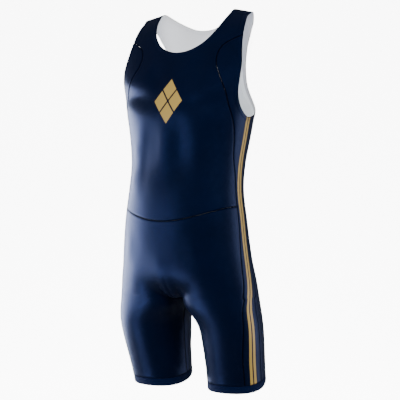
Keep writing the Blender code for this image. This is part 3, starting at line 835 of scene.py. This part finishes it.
# Panels
def bodyGrids(back):
    # Straps, chest or back, down to the waist seam, left and right halves
    neckEnd = float(sectionAt(neckBackRows[-1][0] if back else neckFrontRows[-1][0], back))
    waist = float(shiftedDown(sectionAt(suit["waistHeight"], back), -halfGap))
    start = float(shiftedDown(0.0, halfGap))
    tip = panelTip(back)
    part = np.linspace(0.0, np.pi / 2, 46)
    strap = start + (neckEnd - start) * np.sin(part)
    strap[-1] = neckEnd
    tipRows = tip + np.array([-0.04, -0.02, 0.0, 0.02, 0.04])
    strap = np.unique(np.concatenate([strap, tipRows[(tipRows > start) & (tipRows < neckEnd)]]))
    lower = spaced(neckEnd, waist, cloth["step"], closeStart=0.013, closeEnd=0.006)[1:]
    lower = np.unique(np.concatenate([lower, tipRows[tipRows > neckEnd]]))
    sections = np.concatenate([strap, lower])
    centre = 1.0 if back else 0.0
    inner = np.where(sections < neckEnd, neckShare(sections, back), centre)
    reach = np.maximum(armReach(sections, back), panelReach(sections, back) + halfGap)
    reach = np.where(sections > float(sectionAt(armFrontRows[-1][0], back)),
                     panelReach(sections, back) + halfGap, reach)
    reach = np.where(sections <= tip, armReach(sections, back), reach)
    outer = besideSide(sections, reach, back)
    share = acrossRow(inner, outer, girthAt(sections), cloth["step"])
    rows = dippedRows(sections, share, outer, back, True)
    return bothGrids(rows, share, back), len(lower) + 1


def shortsGrids(back):
    # Hips and both legs, from the waist seam to the leg bands
    waist = float(shiftedDown(sectionAt(suit["waistHeight"], back), halfGap))
    crotch = float(suit["crotchSection"])
    last = float(shiftedDown(hemTop, -halfGap))
    upper = spaced(waist, crotch, cloth["step"], closeStart=0.006)
    lower = spaced(crotch, last, cloth["step"], closeEnd=0.006)
    sections = np.concatenate([upper, lower[1:]])
    centre = 1.0 if back else 0.0
    inseam = halfGap / girthAt(sections)
    inner = np.where(sections >= crotch, centre - inseam if back else centre + inseam, centre)
    outer = besideSide(sections, panelReach(sections, back) + halfGap, back)
    share = acrossRow(inner, outer, girthAt(sections), cloth["step"])
    rows = dippedRows(sections, share, outer, back, False)
    return bothGrids(rows, share, back), len(upper) - 1


def sideGrids(sideName):
    # Side panel: its front and back halves share the side line below the armhole
    bottom = float(sectionAt(armFrontRows[-1][0]))
    last = float(shiftedDown(hemTop, -halfGap))
    lower = spaced(bottom, last, cloth["step"], closeStart=0.013, closeEnd=0.006)
    grids = []
    for back in (False, True):
        tip = panelTip(back)
        part = np.sin(np.linspace(0.0, np.pi / 2, 60))
        horn = tip + 0.03 + (bottom - tip - 0.03) * part
        sections = np.concatenate([horn[:-1], lower])
        middle = np.where(sections < bottom, armReach(sections, back), 0.0)
        seam = panelReach(sections, back) - halfGap
        seam = np.maximum(seam, middle + 0.0004)
        first = besideSide(sections, seam, back)
        second = besideSide(sections, middle, back)
        share = acrossRow(first, second, girthAt(sections), cloth["step"])
        grids.append(gridPiece(sideName, sections[:, None], share, "side", back))
    return grids, len(lower)


def bandGrid(sideName):
    # The band round a leg's end
    top = float(shiftedDown(hemTop, halfGap))
    sections = spaced(top, float(hemSection), 0.0016, closeStart=0.003, closeEnd=0.003)
    share = np.linspace(0.0, 1.0, 181)
    return gridPiece(sideName, sections[:, None], share[None, :], "front")


def toLinear(code):
    # sRGB hex to the linear colour that shaders take
    value = np.array([int(code[i:i + 2], 16) for i in (0, 2, 4)]) / 255.0
    linear = np.where(value <= 0.04045, value / 12.92, ((value + 0.055) / 1.055) ** 2.4)
    return tuple(float(part) for part in linear) + (1.0,)


def addNode(tree, kind, settings=None, inputs=None):
    # One node with its settings and links; an input is a value, another node's output,
    # or another node, whose first output is then taken
    node = tree.nodes.new(kind)
    for name, value in (settings or {}).items():
        setattr(node, name, value)
    for name, value in (inputs or {}).items():
        if isinstance(value, bpy.types.Node):
            value = value.outputs[0]
        if isinstance(value, bpy.types.NodeSocket):
            tree.links.new(value, node.inputs[name])
        else:
            node.inputs[name].default_value = value
    return node


knit = {
    "navy": "03081b",
    "navyDeep": "020512",
    "seamShadow": "010206",
    "glossTint": "6f8ee0",
    "sheenTint": "5a74b8",
    "band": "03071a",
    "bandFleck": "0a1430",
    "gold": "92793c",
    "goldDeep": "766134",
    "insidePaintedShade": "c9c9c9",
    "insideLower": "f4f7f6",
    "insideHem": "c4c4c4",
    "insideWale": "9c9c9c",
    "thread": "0a1430",
    "threadDeep": "050a1c",
    "roughness": 0.36,
    "sheen": 0.03,
    "waleSpacing": 0.0011,
    "courseSpacing": 0.0011 * 1.3,
    "bandRibSpacing": 0.0021,
    "stripeInner": 0.0017,
    "stripeOuter": 0.0090,
    "lozengeHalfWidth": 0.038,
    "lozengeHalfHeight": 0.054,
    "lozengeCentre": -0.217,
    "lozengeFill": 0.445,
}


def startMaterial(name):
    material = bpy.data.materials.new(name)
    material.use_nodes = True
    tree = material.node_tree
    tree.nodes.clear()
    return material, tree


def clothPosition(tree):
    # Flat cloth coordinates in metres: u round the body, v down the cloth
    layer = addNode(tree, "ShaderNodeUVMap", {"uv_map": "clothFlat"})
    parts = addNode(tree, "ShaderNodeSeparateXYZ", {}, {0: layer})
    return layer.outputs["UV"], parts.outputs["X"], parts.outputs["Y"]


def sineAcross(tree, position, spacing):
    # Even ribs: sin(2 pi position / spacing)
    angle = addNode(tree, "ShaderNodeMath", {"operation": "MULTIPLY"},
                    {0: position, 1: 2 * np.pi / spacing})
    return addNode(tree, "ShaderNodeMath", {"operation": "SINE"}, {0: angle})


def nearEdge(tree, label, near, far, most):
    # Most up to the near distance from a panel's edge, fading to nothing at the far one
    distance = addNode(tree, "ShaderNodeAttribute", {"attribute_name": label})
    return addNode(tree, "ShaderNodeMapRange", {"interpolation_type": "SMOOTHSTEP"}, {
        "Value": distance.outputs["Fac"], "From Min": near, "From Max": far,
        "To Min": most, "To Max": 0.0,
    })


def knitBump(tree, uv, u, v, strength):
    # Warp knit: fine wales down the cloth and short courses across them, drawn 1.1 mm and
    # 1.4 mm apart, coarser than real ones so that they show, with flecks of about 1 mm
    wale = addNode(tree, "ShaderNodeMath", {"operation": "MULTIPLY"},
                   {0: sineAcross(tree, u, knit["waleSpacing"]), 1: 0.6})
    course = addNode(tree, "ShaderNodeMath", {"operation": "MULTIPLY"},
                     {0: sineAcross(tree, v, knit["courseSpacing"]), 1: 0.25})
    loops = addNode(tree, "ShaderNodeMath", {"operation": "ADD"}, {0: wale, 1: course})
    fleck = addNode(tree, "ShaderNodeTexNoise", {"noise_dimensions": "2D"},
                    {"Vector": uv, "Scale": 900.0, "Detail": 2.0})
    grain = addNode(tree, "ShaderNodeMath", {"operation": "MULTIPLY"},
                    {0: fleck.outputs["Fac"], 1: 0.5})
    height = addNode(tree, "ShaderNodeMath", {"operation": "ADD"}, {0: loops, 1: grain})
    return addNode(tree, "ShaderNodeBump", {},
                   {"Strength": strength, "Distance": 0.00012, "Height": height})


def satinKnit(name, colour, printColour=None, printMask=None):
    # Nylon and elastane tricot, calendered: a smooth face with long soft highlights, a shade
    # that wanders over about 70 mm, and painted shade, darker and less glossy, where the cloth
    # dips into a seam and along the hems
    material, tree = startMaterial(name)
    uv, u, v = clothPosition(tree)
    cloud = addNode(tree, "ShaderNodeTexNoise", {"noise_dimensions": "2D"},
                    {"Vector": uv, "Scale": 14.0, "Detail": 3.0})
    base = addNode(tree, "ShaderNodeMix", {"data_type": "RGBA"}, {
        0: cloud.outputs["Fac"], 6: toLinear(colour), 7: toLinear(knit["navyDeep"]),
    })
    # Painted shade: within 3 mm of a seam or a hem the colour turns to the seam shadow colour
    seamShade = nearEdge(tree, "seamDistance", 0.0004, 0.0030, 0.92)
    hemShade = nearEdge(tree, "hemDistance", 0.0008, 0.0030, 0.85)
    shade = addNode(tree, "ShaderNodeMath", {"operation": "MAXIMUM"}, {0: seamShade, 1: hemShade})
    wander = addNode(tree, "ShaderNodeMath", {"operation": "MULTIPLY"},
                     {0: cloud.outputs["Fac"], 1: 0.08})
    roughness = addNode(tree, "ShaderNodeMath", {"operation": "ADD"},
                        {0: knit["roughness"] - 0.04, 1: wander})
    if printMask:
        # Printed ink, mottled over about 2.4 mm as it sinks into the loops
        fleck = addNode(tree, "ShaderNodeTexNoise", {"noise_dimensions": "2D"},
                        {"Vector": uv, "Scale": 420.0, "Detail": 2.0})
        mottle = addNode(tree, "ShaderNodeMath", {"operation": "MULTIPLY"},
                         {0: fleck.outputs["Fac"], 1: 0.22})
        ink = addNode(tree, "ShaderNodeMix", {"data_type": "RGBA"},
                      {0: mottle, 6: toLinear(printColour), 7: toLinear(knit["goldDeep"])})
        base = addNode(tree, "ShaderNodeMix", {"data_type": "RGBA"},
                       {0: printMask(tree, u), 6: base.outputs[2], 7: ink.outputs[2]})
    base = addNode(tree, "ShaderNodeMix", {"data_type": "RGBA"},
                   {0: shade, 6: base.outputs[2], 7: toLinear(knit["seamShadow"])})
    # Painted shade on the gloss: the specular level drops where the painted shade is
    shadeGlossCut = addNode(tree, "ShaderNodeMath", {"operation": "MULTIPLY"}, {0: shade, 1: 0.5})
    gloss = addNode(tree, "ShaderNodeMath", {"operation": "SUBTRACT"}, {0: 0.5, 1: shadeGlossCut})
    shader = addNode(tree, "ShaderNodeBsdfPrincipled", {}, {
        "Base Color": base.outputs[2], "Roughness": roughness, "IOR": 1.5,
        "Normal": knitBump(tree, uv, u, v, 0.3), "Metallic": 0.0,
        "Specular Tint": toLinear(knit["glossTint"]), "Specular IOR Level": gloss,
        "Sheen Weight": knit["sheen"], "Sheen Roughness": 0.45,
        "Sheen Tint": toLinear(knit["sheenTint"]),
    })
    addNode(tree, "ShaderNodeOutputMaterial", {}, {"Surface": shader})
    return material


def stripeMask(tree, u):
    # Two stripes 7.3 mm wide beside the side line, 3.4 mm apart: inner < |u| < outer
    distance = addNode(tree, "ShaderNodeMath", {"operation": "ABSOLUTE"}, {0: u})
    beyond = addNode(tree, "ShaderNodeMath", {"operation": "GREATER_THAN"},
                     {0: distance, 1: knit["stripeInner"]})
    within = addNode(tree, "ShaderNodeMath", {"operation": "LESS_THAN"},
                     {0: distance, 1: knit["stripeOuter"]})
    return addNode(tree, "ShaderNodeMath", {"operation": "MULTIPLY"}, {0: beyond, 1: within})


def lozengeMask(tree, u):
    # A tall lozenge of four small ones. With x and y as shares of its half width and height,
    # each small one is |x| + |y| < fill about its own centre, half way out
    place = addNode(tree, "ShaderNodeTexCoord").outputs["Object"]
    parts = addNode(tree, "ShaderNodeSeparateXYZ", {}, {0: place})
    fromCentre = addNode(tree, "ShaderNodeMath", {"operation": "SUBTRACT"},
                         {0: parts.outputs["Z"], 1: knit["lozengeCentre"]})
    shares, offsets = [], []
    for position, half in ((parts.outputs["X"], knit["lozengeHalfWidth"]),
                           (fromCentre, knit["lozengeHalfHeight"])):
        away = addNode(tree, "ShaderNodeMath", {"operation": "ABSOLUTE"}, {0: position})
        share = addNode(tree, "ShaderNodeMath", {"operation": "DIVIDE"}, {0: away, 1: half})
        fromHalf = addNode(tree, "ShaderNodeMath", {"operation": "SUBTRACT"}, {0: share, 1: 0.5})
        shares.append(share)
        offsets.append(addNode(tree, "ShaderNodeMath", {"operation": "ABSOLUTE"}, {0: fromHalf}))
    side = addNode(tree, "ShaderNodeMath", {"operation": "ADD"}, {0: offsets[0], 1: shares[1]})
    tall = addNode(tree, "ShaderNodeMath", {"operation": "ADD"}, {0: shares[0], 1: offsets[1]})
    small = addNode(tree, "ShaderNodeMath", {"operation": "MINIMUM"}, {0: side, 1: tall})
    filled = addNode(tree, "ShaderNodeMath", {"operation": "LESS_THAN"},
                     {0: small, 1: knit["lozengeFill"]})
    front = addNode(tree, "ShaderNodeMath", {"operation": "LESS_THAN"},
                    {0: parts.outputs["Y"], 1: -0.05})
    return addNode(tree, "ShaderNodeMath", {"operation": "MULTIPLY"}, {0: filled, 1: front})


def insideKnit():
    # The unprinted back of the same knit: nearly white, matte, with the wales showing. Above the
    # armholes' middle it is painted grey as shade inside the upper back; it is greyer on the
    # turned hem too
    material, tree = startMaterial("unprintedKnitInside")
    uv, u, v = clothPosition(tree)
    place = addNode(tree, "ShaderNodeTexCoord").outputs["Object"]
    parts = addNode(tree, "ShaderNodeSeparateXYZ", {}, {0: place})
    # Painted shade: the grey colour above a height of -0.10 m, fading to the pale one by -0.16 m
    lower = addNode(tree, "ShaderNodeMapRange", {"interpolation_type": "SMOOTHSTEP"}, {
        "Value": parts.outputs["Z"], "From Min": -0.160, "From Max": -0.100,
        "To Min": 1.0, "To Max": 0.0,
    })
    base = addNode(tree, "ShaderNodeMix", {"data_type": "RGBA"}, {
        0: lower, 6: toLinear(knit["insidePaintedShade"]), 7: toLinear(knit["insideLower"]),
    })
    wale = sineAcross(tree, u, knit["waleSpacing"] * 2)
    lifted = addNode(tree, "ShaderNodeMath", {"operation": "ADD"}, {0: wale, 1: 1.0})
    faint = addNode(tree, "ShaderNodeMath", {"operation": "MULTIPLY"}, {0: lifted, 1: 0.03})
    turnedIn = nearEdge(tree, "hemDistance", cloth["hemDepth"], cloth["hemDepth"] + 0.0012, 1.0)
    hem = addNode(tree, "ShaderNodeAttribute", {"attribute_name": "hemDistance"})
    edge = addNode(tree, "ShaderNodeMath", {"operation": "LESS_THAN"},
                   {0: hem.outputs["Fac"], 1: 0.0009})
    for share, colour in ((faint, "insideWale"), (turnedIn, "insideHem"), (edge, "navyDeep")):
        base = addNode(tree, "ShaderNodeMix", {"data_type": "RGBA"},
                       {0: share, 6: base.outputs[2], 7: toLinear(knit[colour])})
    shader = addNode(tree, "ShaderNodeBsdfPrincipled", {}, {
        "Base Color": base.outputs[2], "Roughness": 0.78, "IOR": 1.45,
        "Normal": knitBump(tree, uv, u, v, 0.5), "Sheen Weight": 0.2, "Sheen Roughness": 0.5,
    })
    addNode(tree, "ShaderNodeOutputMaterial", {}, {"Surface": shader})
    return material


def bandKnit():
    # Gripper band: a denser, duller knit with ribs 2.1 mm apart round the leg
    material, tree = startMaterial("gripperBandKnit")
    uv, u, v = clothPosition(tree)
    fleck = addNode(tree, "ShaderNodeTexNoise", {"noise_dimensions": "2D"},
                    {"Vector": uv, "Scale": 700.0, "Detail": 2.0})
    base = addNode(tree, "ShaderNodeMix", {"data_type": "RGBA"}, {
        0: fleck.outputs["Fac"], 6: toLinear(knit["band"]), 7: toLinear(knit["bandFleck"]),
    })
    grain = addNode(tree, "ShaderNodeMath", {"operation": "MULTIPLY"},
                    {0: fleck.outputs["Fac"], 1: 0.6})
    height = addNode(tree, "ShaderNodeMath", {"operation": "ADD"},
                     {0: sineAcross(tree, v, knit["bandRibSpacing"]), 1: grain})
    bump = addNode(tree, "ShaderNodeBump", {},
                   {"Strength": 0.5, "Distance": 0.0003, "Height": height})
    shader = addNode(tree, "ShaderNodeBsdfPrincipled", {}, {
        "Base Color": base.outputs[2], "Roughness": 0.58, "Normal": bump, "IOR": 1.5,
        "Specular Tint": toLinear(knit["glossTint"]), "Specular IOR Level": 0.15,
    })
    addNode(tree, "ShaderNodeOutputMaterial", {}, {"Surface": shader})
    return material


def threadMaterial():
    # Textured polyester thread, rougher than the knit, with a twist of about 0.4 mm
    material, tree = startMaterial("polyesterThread")
    place = addNode(tree, "ShaderNodeTexCoord").outputs["Object"]
    twist = addNode(tree, "ShaderNodeTexNoise", {},
                    {"Vector": place, "Scale": 2600.0, "Detail": 1.0})
    base = addNode(tree, "ShaderNodeMix", {"data_type": "RGBA"}, {
        0: twist.outputs["Fac"], 6: toLinear(knit["thread"]), 7: toLinear(knit["threadDeep"]),
    })
    bump = addNode(tree, "ShaderNodeBump", {},
                   {"Strength": 0.4, "Distance": 0.0001, "Height": twist.outputs["Fac"]})
    shader = addNode(tree, "ShaderNodeBsdfPrincipled", {}, {
        "Base Color": base.outputs[2], "Roughness": 0.8, "Normal": bump, "IOR": 1.3,
        "Specular Tint": toLinear(knit["glossTint"]),
    })
    addNode(tree, "ShaderNodeOutputMaterial", {}, {"Surface": shader})
    return material


navyKnit = satinKnit("navySatinTricot", knit["navy"])
chestKnit = satinKnit("navySatinTricotChestPrint", knit["navy"], knit["gold"], lozengeMask)
stripedKnit = satinKnit("navySatinTricotStriped", knit["navy"], knit["gold"], stripeMask)
insideCloth = insideKnit()
bandCloth = bandKnit()
thread = threadMaterial()
print("materials ready")


def finishPiece(piece, node):
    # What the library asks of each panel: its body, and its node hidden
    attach(piece, "root")
    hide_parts(node)


def makeBody(name, node, back, material):
    grids, shared = bodyGrids(back)
    welds = [(0, 0, 1, 0, shared)]
    hems = bothSides("neck", back) + bothSides("arm", back)
    seams = bothSides("panel", back) + bothSides("waist", back) + bothSides("shoulder", back)
    piece = makeShell(name, grids, welds, hems, seams, [material, insideCloth])
    finishPiece(piece, node)


def makeShorts(name, node, back):
    grids, upperCount = shortsGrids(back)
    # Welded above the crotch only. A weld takes the last rows, so the rows are turned over
    for grid in grids:
        for field in ("points", "normals", "u", "v"):
            grid[field] = grid[field][::-1]
        grid["flip"] = not grid["flip"]
    welds = [(0, 0, 1, 0, upperCount)]
    seams = bothSides("panel", back) + bothSides("waist", back)
    seams += bothSides("inseam", back) + bothSides("bandTop", back)
    piece = makeShell(name, grids, welds, [], seams, [navyKnit, insideCloth])
    finishPiece(piece, node)


def makeSide(sideName):
    grids, shared = sideGrids(sideName)
    welds = [(0, -1, 1, -1, shared)]
    hems = [linePoints("arm", back, sideName) for back in (False, True)]
    seams = [linePoints("panel", back, sideName) for back in (False, True)]
    seams.append(linePoints("bandTop", False, sideName))
    name = "sidePanel" + sideName.capitalize()
    piece = makeShell(name, grids, welds, hems, seams, [stripedKnit, insideCloth])
    finishPiece(piece, "side_panel_" + sideName)


def makeBand(sideName):
    grid = bandGrid(sideName)
    hems = [linePoints("bandEnd", False, sideName)]
    seams = [linePoints("bandTop", False, sideName)]
    name = "hemBand" + sideName.capitalize()
    # The ring closes on its first column
    welds = [(0, 0, 0, -1, len(grid["v"]))]
    piece = makeShell(name, [grid], welds, hems, seams, [bandCloth, insideCloth])
    finishPiece(piece, "hem_band_" + sideName)


makeBody("frontBody", "front_body", False, chestKnit)
makeBody("backBody", "back_body", True, navyKnit)
makeShorts("frontShorts", "front_shorts", False)
makeShorts("backShorts", "back_shorts", True)
for sideName in ("left", "right"):
    makeSide(sideName)
    makeBand(sideName)
print("panels ready")

# Twin-needle and flatlock stitching
stitch = {
    "length": 0.0024,
    "pitch": 0.0033,
    "radius": 0.00021,
    "sides": 5,
    "endSink": 0.00022,
    "hemRows": (0.0062, 0.0084),
    "seamRow": 0.0019,
    "lift": 0.00005,
}


def offsetLine(sections, share, distance):
    # The same line moved across the cloth by a distance, in the cloth's own measure
    down = np.interp(sections, form["sections"], form["down"])
    stepDown, stepAcross = np.gradient(down), np.gradient(share) * girthAt(sections)
    length = np.maximum(np.hypot(stepDown, stepAcross), 1e-9)
    newDown = down + distance * stepAcross / length
    newShare = share - distance * stepDown / length / girthAt(sections)
    return np.interp(newDown, form["down"], form["sections"]), newShare


def readAlong(field, along, where):
    # A field of three columns, read at distances along a line
    return np.stack([np.interp(where, along, field[:, axis]) for axis in range(3)], axis=1)


def stitchesAlong(points, normals):
    # Short prisms in a row, each of four rings, narrower and sunk into the cloth at its ends
    steps = np.linalg.norm(np.diff(points, axis=0), axis=1)
    along = np.concatenate([[0.0], np.cumsum(steps)])
    count = int(along[-1] / stitch["pitch"])
    if count < 1:
        return None
    centre = (np.arange(count) + 0.5) * along[-1] / count
    half = stitch["length"] / 2
    middle, up = readAlong(points, along, centre), readAlong(normals, along, centre)
    ahead = readAlong(points, along, np.minimum(centre + half, along[-1]))
    ahead -= readAlong(points, along, np.maximum(centre - half, 0))
    ahead /= np.maximum(np.linalg.norm(ahead, axis=1, keepdims=True), 1e-12)
    sideways = np.cross(ahead, up)
    angle = np.linspace(0.0, 2 * np.pi, stitch["sides"], endpoint=False)
    rings = []
    for place, size in ((-0.5, 0.35), (-0.32, 0.95), (0.32, 0.95), (0.5, 0.35)):
        sink = stitch["endSink"] * (abs(place) > 0.4)
        axis = middle + ahead * place * stitch["length"] - up * sink
        flatPart = np.cos(angle)[None, :, None] * sideways[:, None]
        highPart = np.sin(angle)[None, :, None] * up[:, None]
        rings.append(axis[:, None] + size * stitch["radius"] * (flatPart + highPart))
    return np.stack(rings, axis=1)


def threadPiece(name, rows):
    # Joins every stitch of the given rows into one mesh
    blocks = [stitchesAlong(points, normals) for points, normals in rows]
    verts = np.concatenate([block for block in blocks if block is not None])
    count, ringCount, sides = verts.shape[:3]
    index = np.arange(count * ringCount * sides).reshape(count, ringCount, sides)
    around = np.roll(index, -1, axis=2)
    quads = np.stack([index[:, :-1], around[:, :-1], around[:, 1:], index[:, 1:]], axis=-1)
    faces = quads.reshape(-1, 4).tolist()
    faces += index[:, 0, ::-1].tolist() + index[:, -1].tolist()
    mesh = bpy.data.meshes.new(name)
    mesh.from_pydata(verts.reshape(-1, 3), [], faces)
    mesh.shade_smooth()
    mesh.materials.append(thread)
    piece = bpy.data.objects.new(name, mesh)
    bpy.context.scene.collection.objects.link(piece)
    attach(piece, "root")
    print("  ", name, count, "stitches")


def threadRow(kind, back, sideName, distance, lift):
    # One row of stitches beside a line: its points and the cloth's normals there
    sections, share = offsetLine(*lineAlong(kind, back), distance)
    points = pathAt(sideName, sections, share, lift)
    normals = readForm(forms[sideName]["normals"], sections, share)
    return points, normals


def threadRows(kinds, distances, lift):
    rows = []
    for kind, back in kinds:
        for sideName in ("left", "right"):
            for distance in distances:
                rows.append(threadRow(kind, back, sideName, distance, lift))
    return rows


hemLift = cloth["middle"] + cloth["halfThickness"] + cloth["hemExtra"] + stitch["lift"]
seamLift = cloth["middle"] + cloth["halfThickness"] + stitch["lift"]
seamPair = (stitch["seamRow"], -stitch["seamRow"])


def hemRows(kind, inwardFront):
    # Twin rows beside a hem's edge: the cloth lies to opposite hands on front and back
    inward = np.array(stitch["hemRows"]) * inwardFront
    rows = threadRows([(kind, False)], inward, hemLift)
    return rows + threadRows([(kind, True)], -inward, hemLift)


def seamRows(kind):
    # A row on each side of a seam, on front and back
    return threadRows([(kind, False), (kind, True)], seamPair, seamLift)


threadPiece("neckHemThread", hemRows("neck", -1))
threadPiece("armholeHemThread", hemRows("arm", 1))
threadPiece("bandSeamThread", threadRows([("bandTop", False)], seamPair, seamLift))
threadPiece("inseamThread", threadRows([("inseam", False)], seamPair[:1], seamLift)
            + threadRows([("inseam", True)], seamPair[1:], seamLift))
threadPiece("waistSeamThread", seamRows("waist"))
threadPiece("sideSeamThread", seamRows("panel"))
print("stitching ready")


# Stage, lights and camera
studio = {
    "azimuth": 29.0,
    "distance": 2.5,
    "cameraHeight": -0.393,
    "aimHeight": -0.443,
    "aimAside": 0.0024,
    "lens": 94.5,
    "floorHeight": -2.60,
    "backdropBehind": 3.4,
    "paperHalfWidth": 1.7,
    "paperFront": -1.0,
    "paperTop": 4.2,
    "bendRadius": 1.0,
    "paper": "f6f6f6",
    "paperGlow": 8.0,
    "glowFrom": 0.3,
    "glowFull": 0.8,
    "lightAim": (0.0, -0.05, -0.42),
    "lightSpread": 120.0,
    "coolTint": "d2ddff",
    "world": "eef0f4",
    "worldStrength": 0.10,
}


def turned(azimuth, distance, height):
    # A place round the suit: azimuth 0 is in front, plus towards the wearer's left
    angle = np.radians(azimuth)
    return Vector((np.sin(angle) * distance, -np.cos(angle) * distance, height))


def makeStage():
    # A pale sweep: level floor, a quarter-round bend and an upright sheet behind
    across = np.linspace(-studio["paperHalfWidth"], studio["paperHalfWidth"], 3)
    bend = np.linspace(0.0, np.pi / 2, 17)[1:]
    radius, behind = studio["bendRadius"], studio["backdropBehind"]
    level = np.array([
        studio["paperFront"], studio["glowFrom"], studio["glowFull"], behind - radius,
    ])
    profileY = np.concatenate([level, behind - radius + radius * np.sin(bend), [behind]])
    profileZ = np.concatenate([level * 0.0, radius - radius * np.cos(bend), [studio["paperTop"]]])
    profileZ += studio["floorHeight"]
    angle = np.radians(studio["azimuth"])
    grid = np.zeros((len(profileY), len(across), 3))
    grid[..., 0] = across[None, :] * np.cos(angle) - profileY[:, None] * np.sin(angle)
    grid[..., 1] = across[None, :] * np.sin(angle) + profileY[:, None] * np.cos(angle)
    grid[..., 2] = profileZ[:, None]
    rows, columns = grid.shape[:2]
    index = np.arange(rows * columns).reshape(rows, columns)
    faces = np.stack([index[:-1, :-1], index[:-1, 1:], index[1:, 1:], index[1:, :-1]], axis=-1)
    mesh = bpy.data.meshes.new("paperSweep")
    mesh.from_pydata(grid.reshape(-1, 3), [], faces.reshape(-1, 4))
    mesh.shade_smooth()
    # The paper glows with painted light from just behind the suit backwards,
    # and is plain under and before it
    glowOver = studio["glowFull"] - studio["glowFrom"]
    glow = np.clip((profileY - studio["glowFrom"]) / glowOver, 0.0, 1.0)
    attribute = mesh.attributes.new("glow", "FLOAT", "POINT")
    attribute.data.foreach_set("value", np.repeat(glow, columns).astype(np.float32))
    sweep = bpy.data.objects.new("paperSweep", mesh)
    sweep.visible_glossy = False
    bpy.context.scene.collection.objects.link(sweep)
    material, tree = startMaterial("seamlessPaper")
    lit = addNode(tree, "ShaderNodeAttribute", {"attribute_name": "glow"})
    strength = addNode(tree, "ShaderNodeMath", {"operation": "MULTIPLY"},
                       {0: lit.outputs["Fac"], 1: studio["paperGlow"]})
    shader = addNode(tree, "ShaderNodeBsdfPrincipled", {}, {
        "Base Color": toLinear(studio["paper"]), "Roughness": 0.9,
        "Emission Color": toLinear("ffffff"), "Emission Strength": strength,
    })
    addNode(tree, "ShaderNodeOutputMaterial", {}, {"Surface": shader})
    mesh.materials.append(material)


def addLight(name, azimuth, distance, height, size, energy, mirrored=True, tint="ffffff"):
    # A softbox turned to the suit; an unmirrored one gives light but no highlight
    light = bpy.data.lights.new(name, "AREA")
    light.shape = "RECTANGLE"
    light.size, light.size_y = size
    light.energy = energy
    light.color = toLinear(tint)[:3]
    light.spread = np.radians(studio["lightSpread"])
    lamp = bpy.data.objects.new(name, light)
    lamp.location = turned(azimuth, distance, height)
    lamp.rotation_mode = "QUATERNION"
    aim = Vector(studio["lightAim"]) - lamp.location
    lamp.rotation_quaternion = aim.to_track_quat("-Z", "Y")
    lamp.visible_camera = False
    lamp.visible_glossy = mirrored
    bpy.context.scene.collection.objects.link(lamp)


def makeCamera():
    data = bpy.data.cameras.new("studioCamera")
    data.lens = studio["lens"]
    data.sensor_width = 36.0
    camera = bpy.data.objects.new("studioCamera", data)
    camera.location = turned(studio["azimuth"], studio["distance"], studio["cameraHeight"])
    angle, aside = np.radians(studio["azimuth"]), studio["aimAside"]
    aim = Vector((np.cos(angle) * aside, np.sin(angle) * aside, studio["aimHeight"]))
    camera.rotation_mode = "QUATERNION"
    camera.rotation_quaternion = (aim - camera.location).to_track_quat("-Z", "Y")
    bpy.context.scene.collection.objects.link(camera)
    bpy.context.scene.camera = camera


def makeWorld():
    world = bpy.data.worlds.new("studioWorld")
    world.use_nodes = True
    background = world.node_tree.nodes["Background"]
    background.inputs["Color"].default_value = toLinear(studio["world"])
    background.inputs["Strength"].default_value = studio["worldStrength"]
    bpy.context.scene.world = world


makeStage()
addLight("keySoftbox", -88.0, 1.9, -0.70, (2.6, 1.5), 58.0, tint=studio["coolTint"])
addLight("chestSoftbox", -26.0, 2.4, -0.40, (0.26, 1.2), 4.5, tint=studio["coolTint"])
addLight("legSoftbox", -36.0, 2.2, -1.85, (0.40, 1.0), 9.0, tint=studio["coolTint"])
addLight("rightSoftbox", 128.0, 2.0, -0.75, (0.6, 1.8), 6.0, tint=studio["coolTint"])
addLight("fillSoftbox", 20.0, 2.2, 0.9, (1.6, 1.2), 40.0, mirrored=False)
addLight("armholeSoftbox", 70.0, 2.2, 0.0, (0.9, 0.9), 26.0, mirrored=False)
makeCamera()
makeWorld()
print("stage ready")
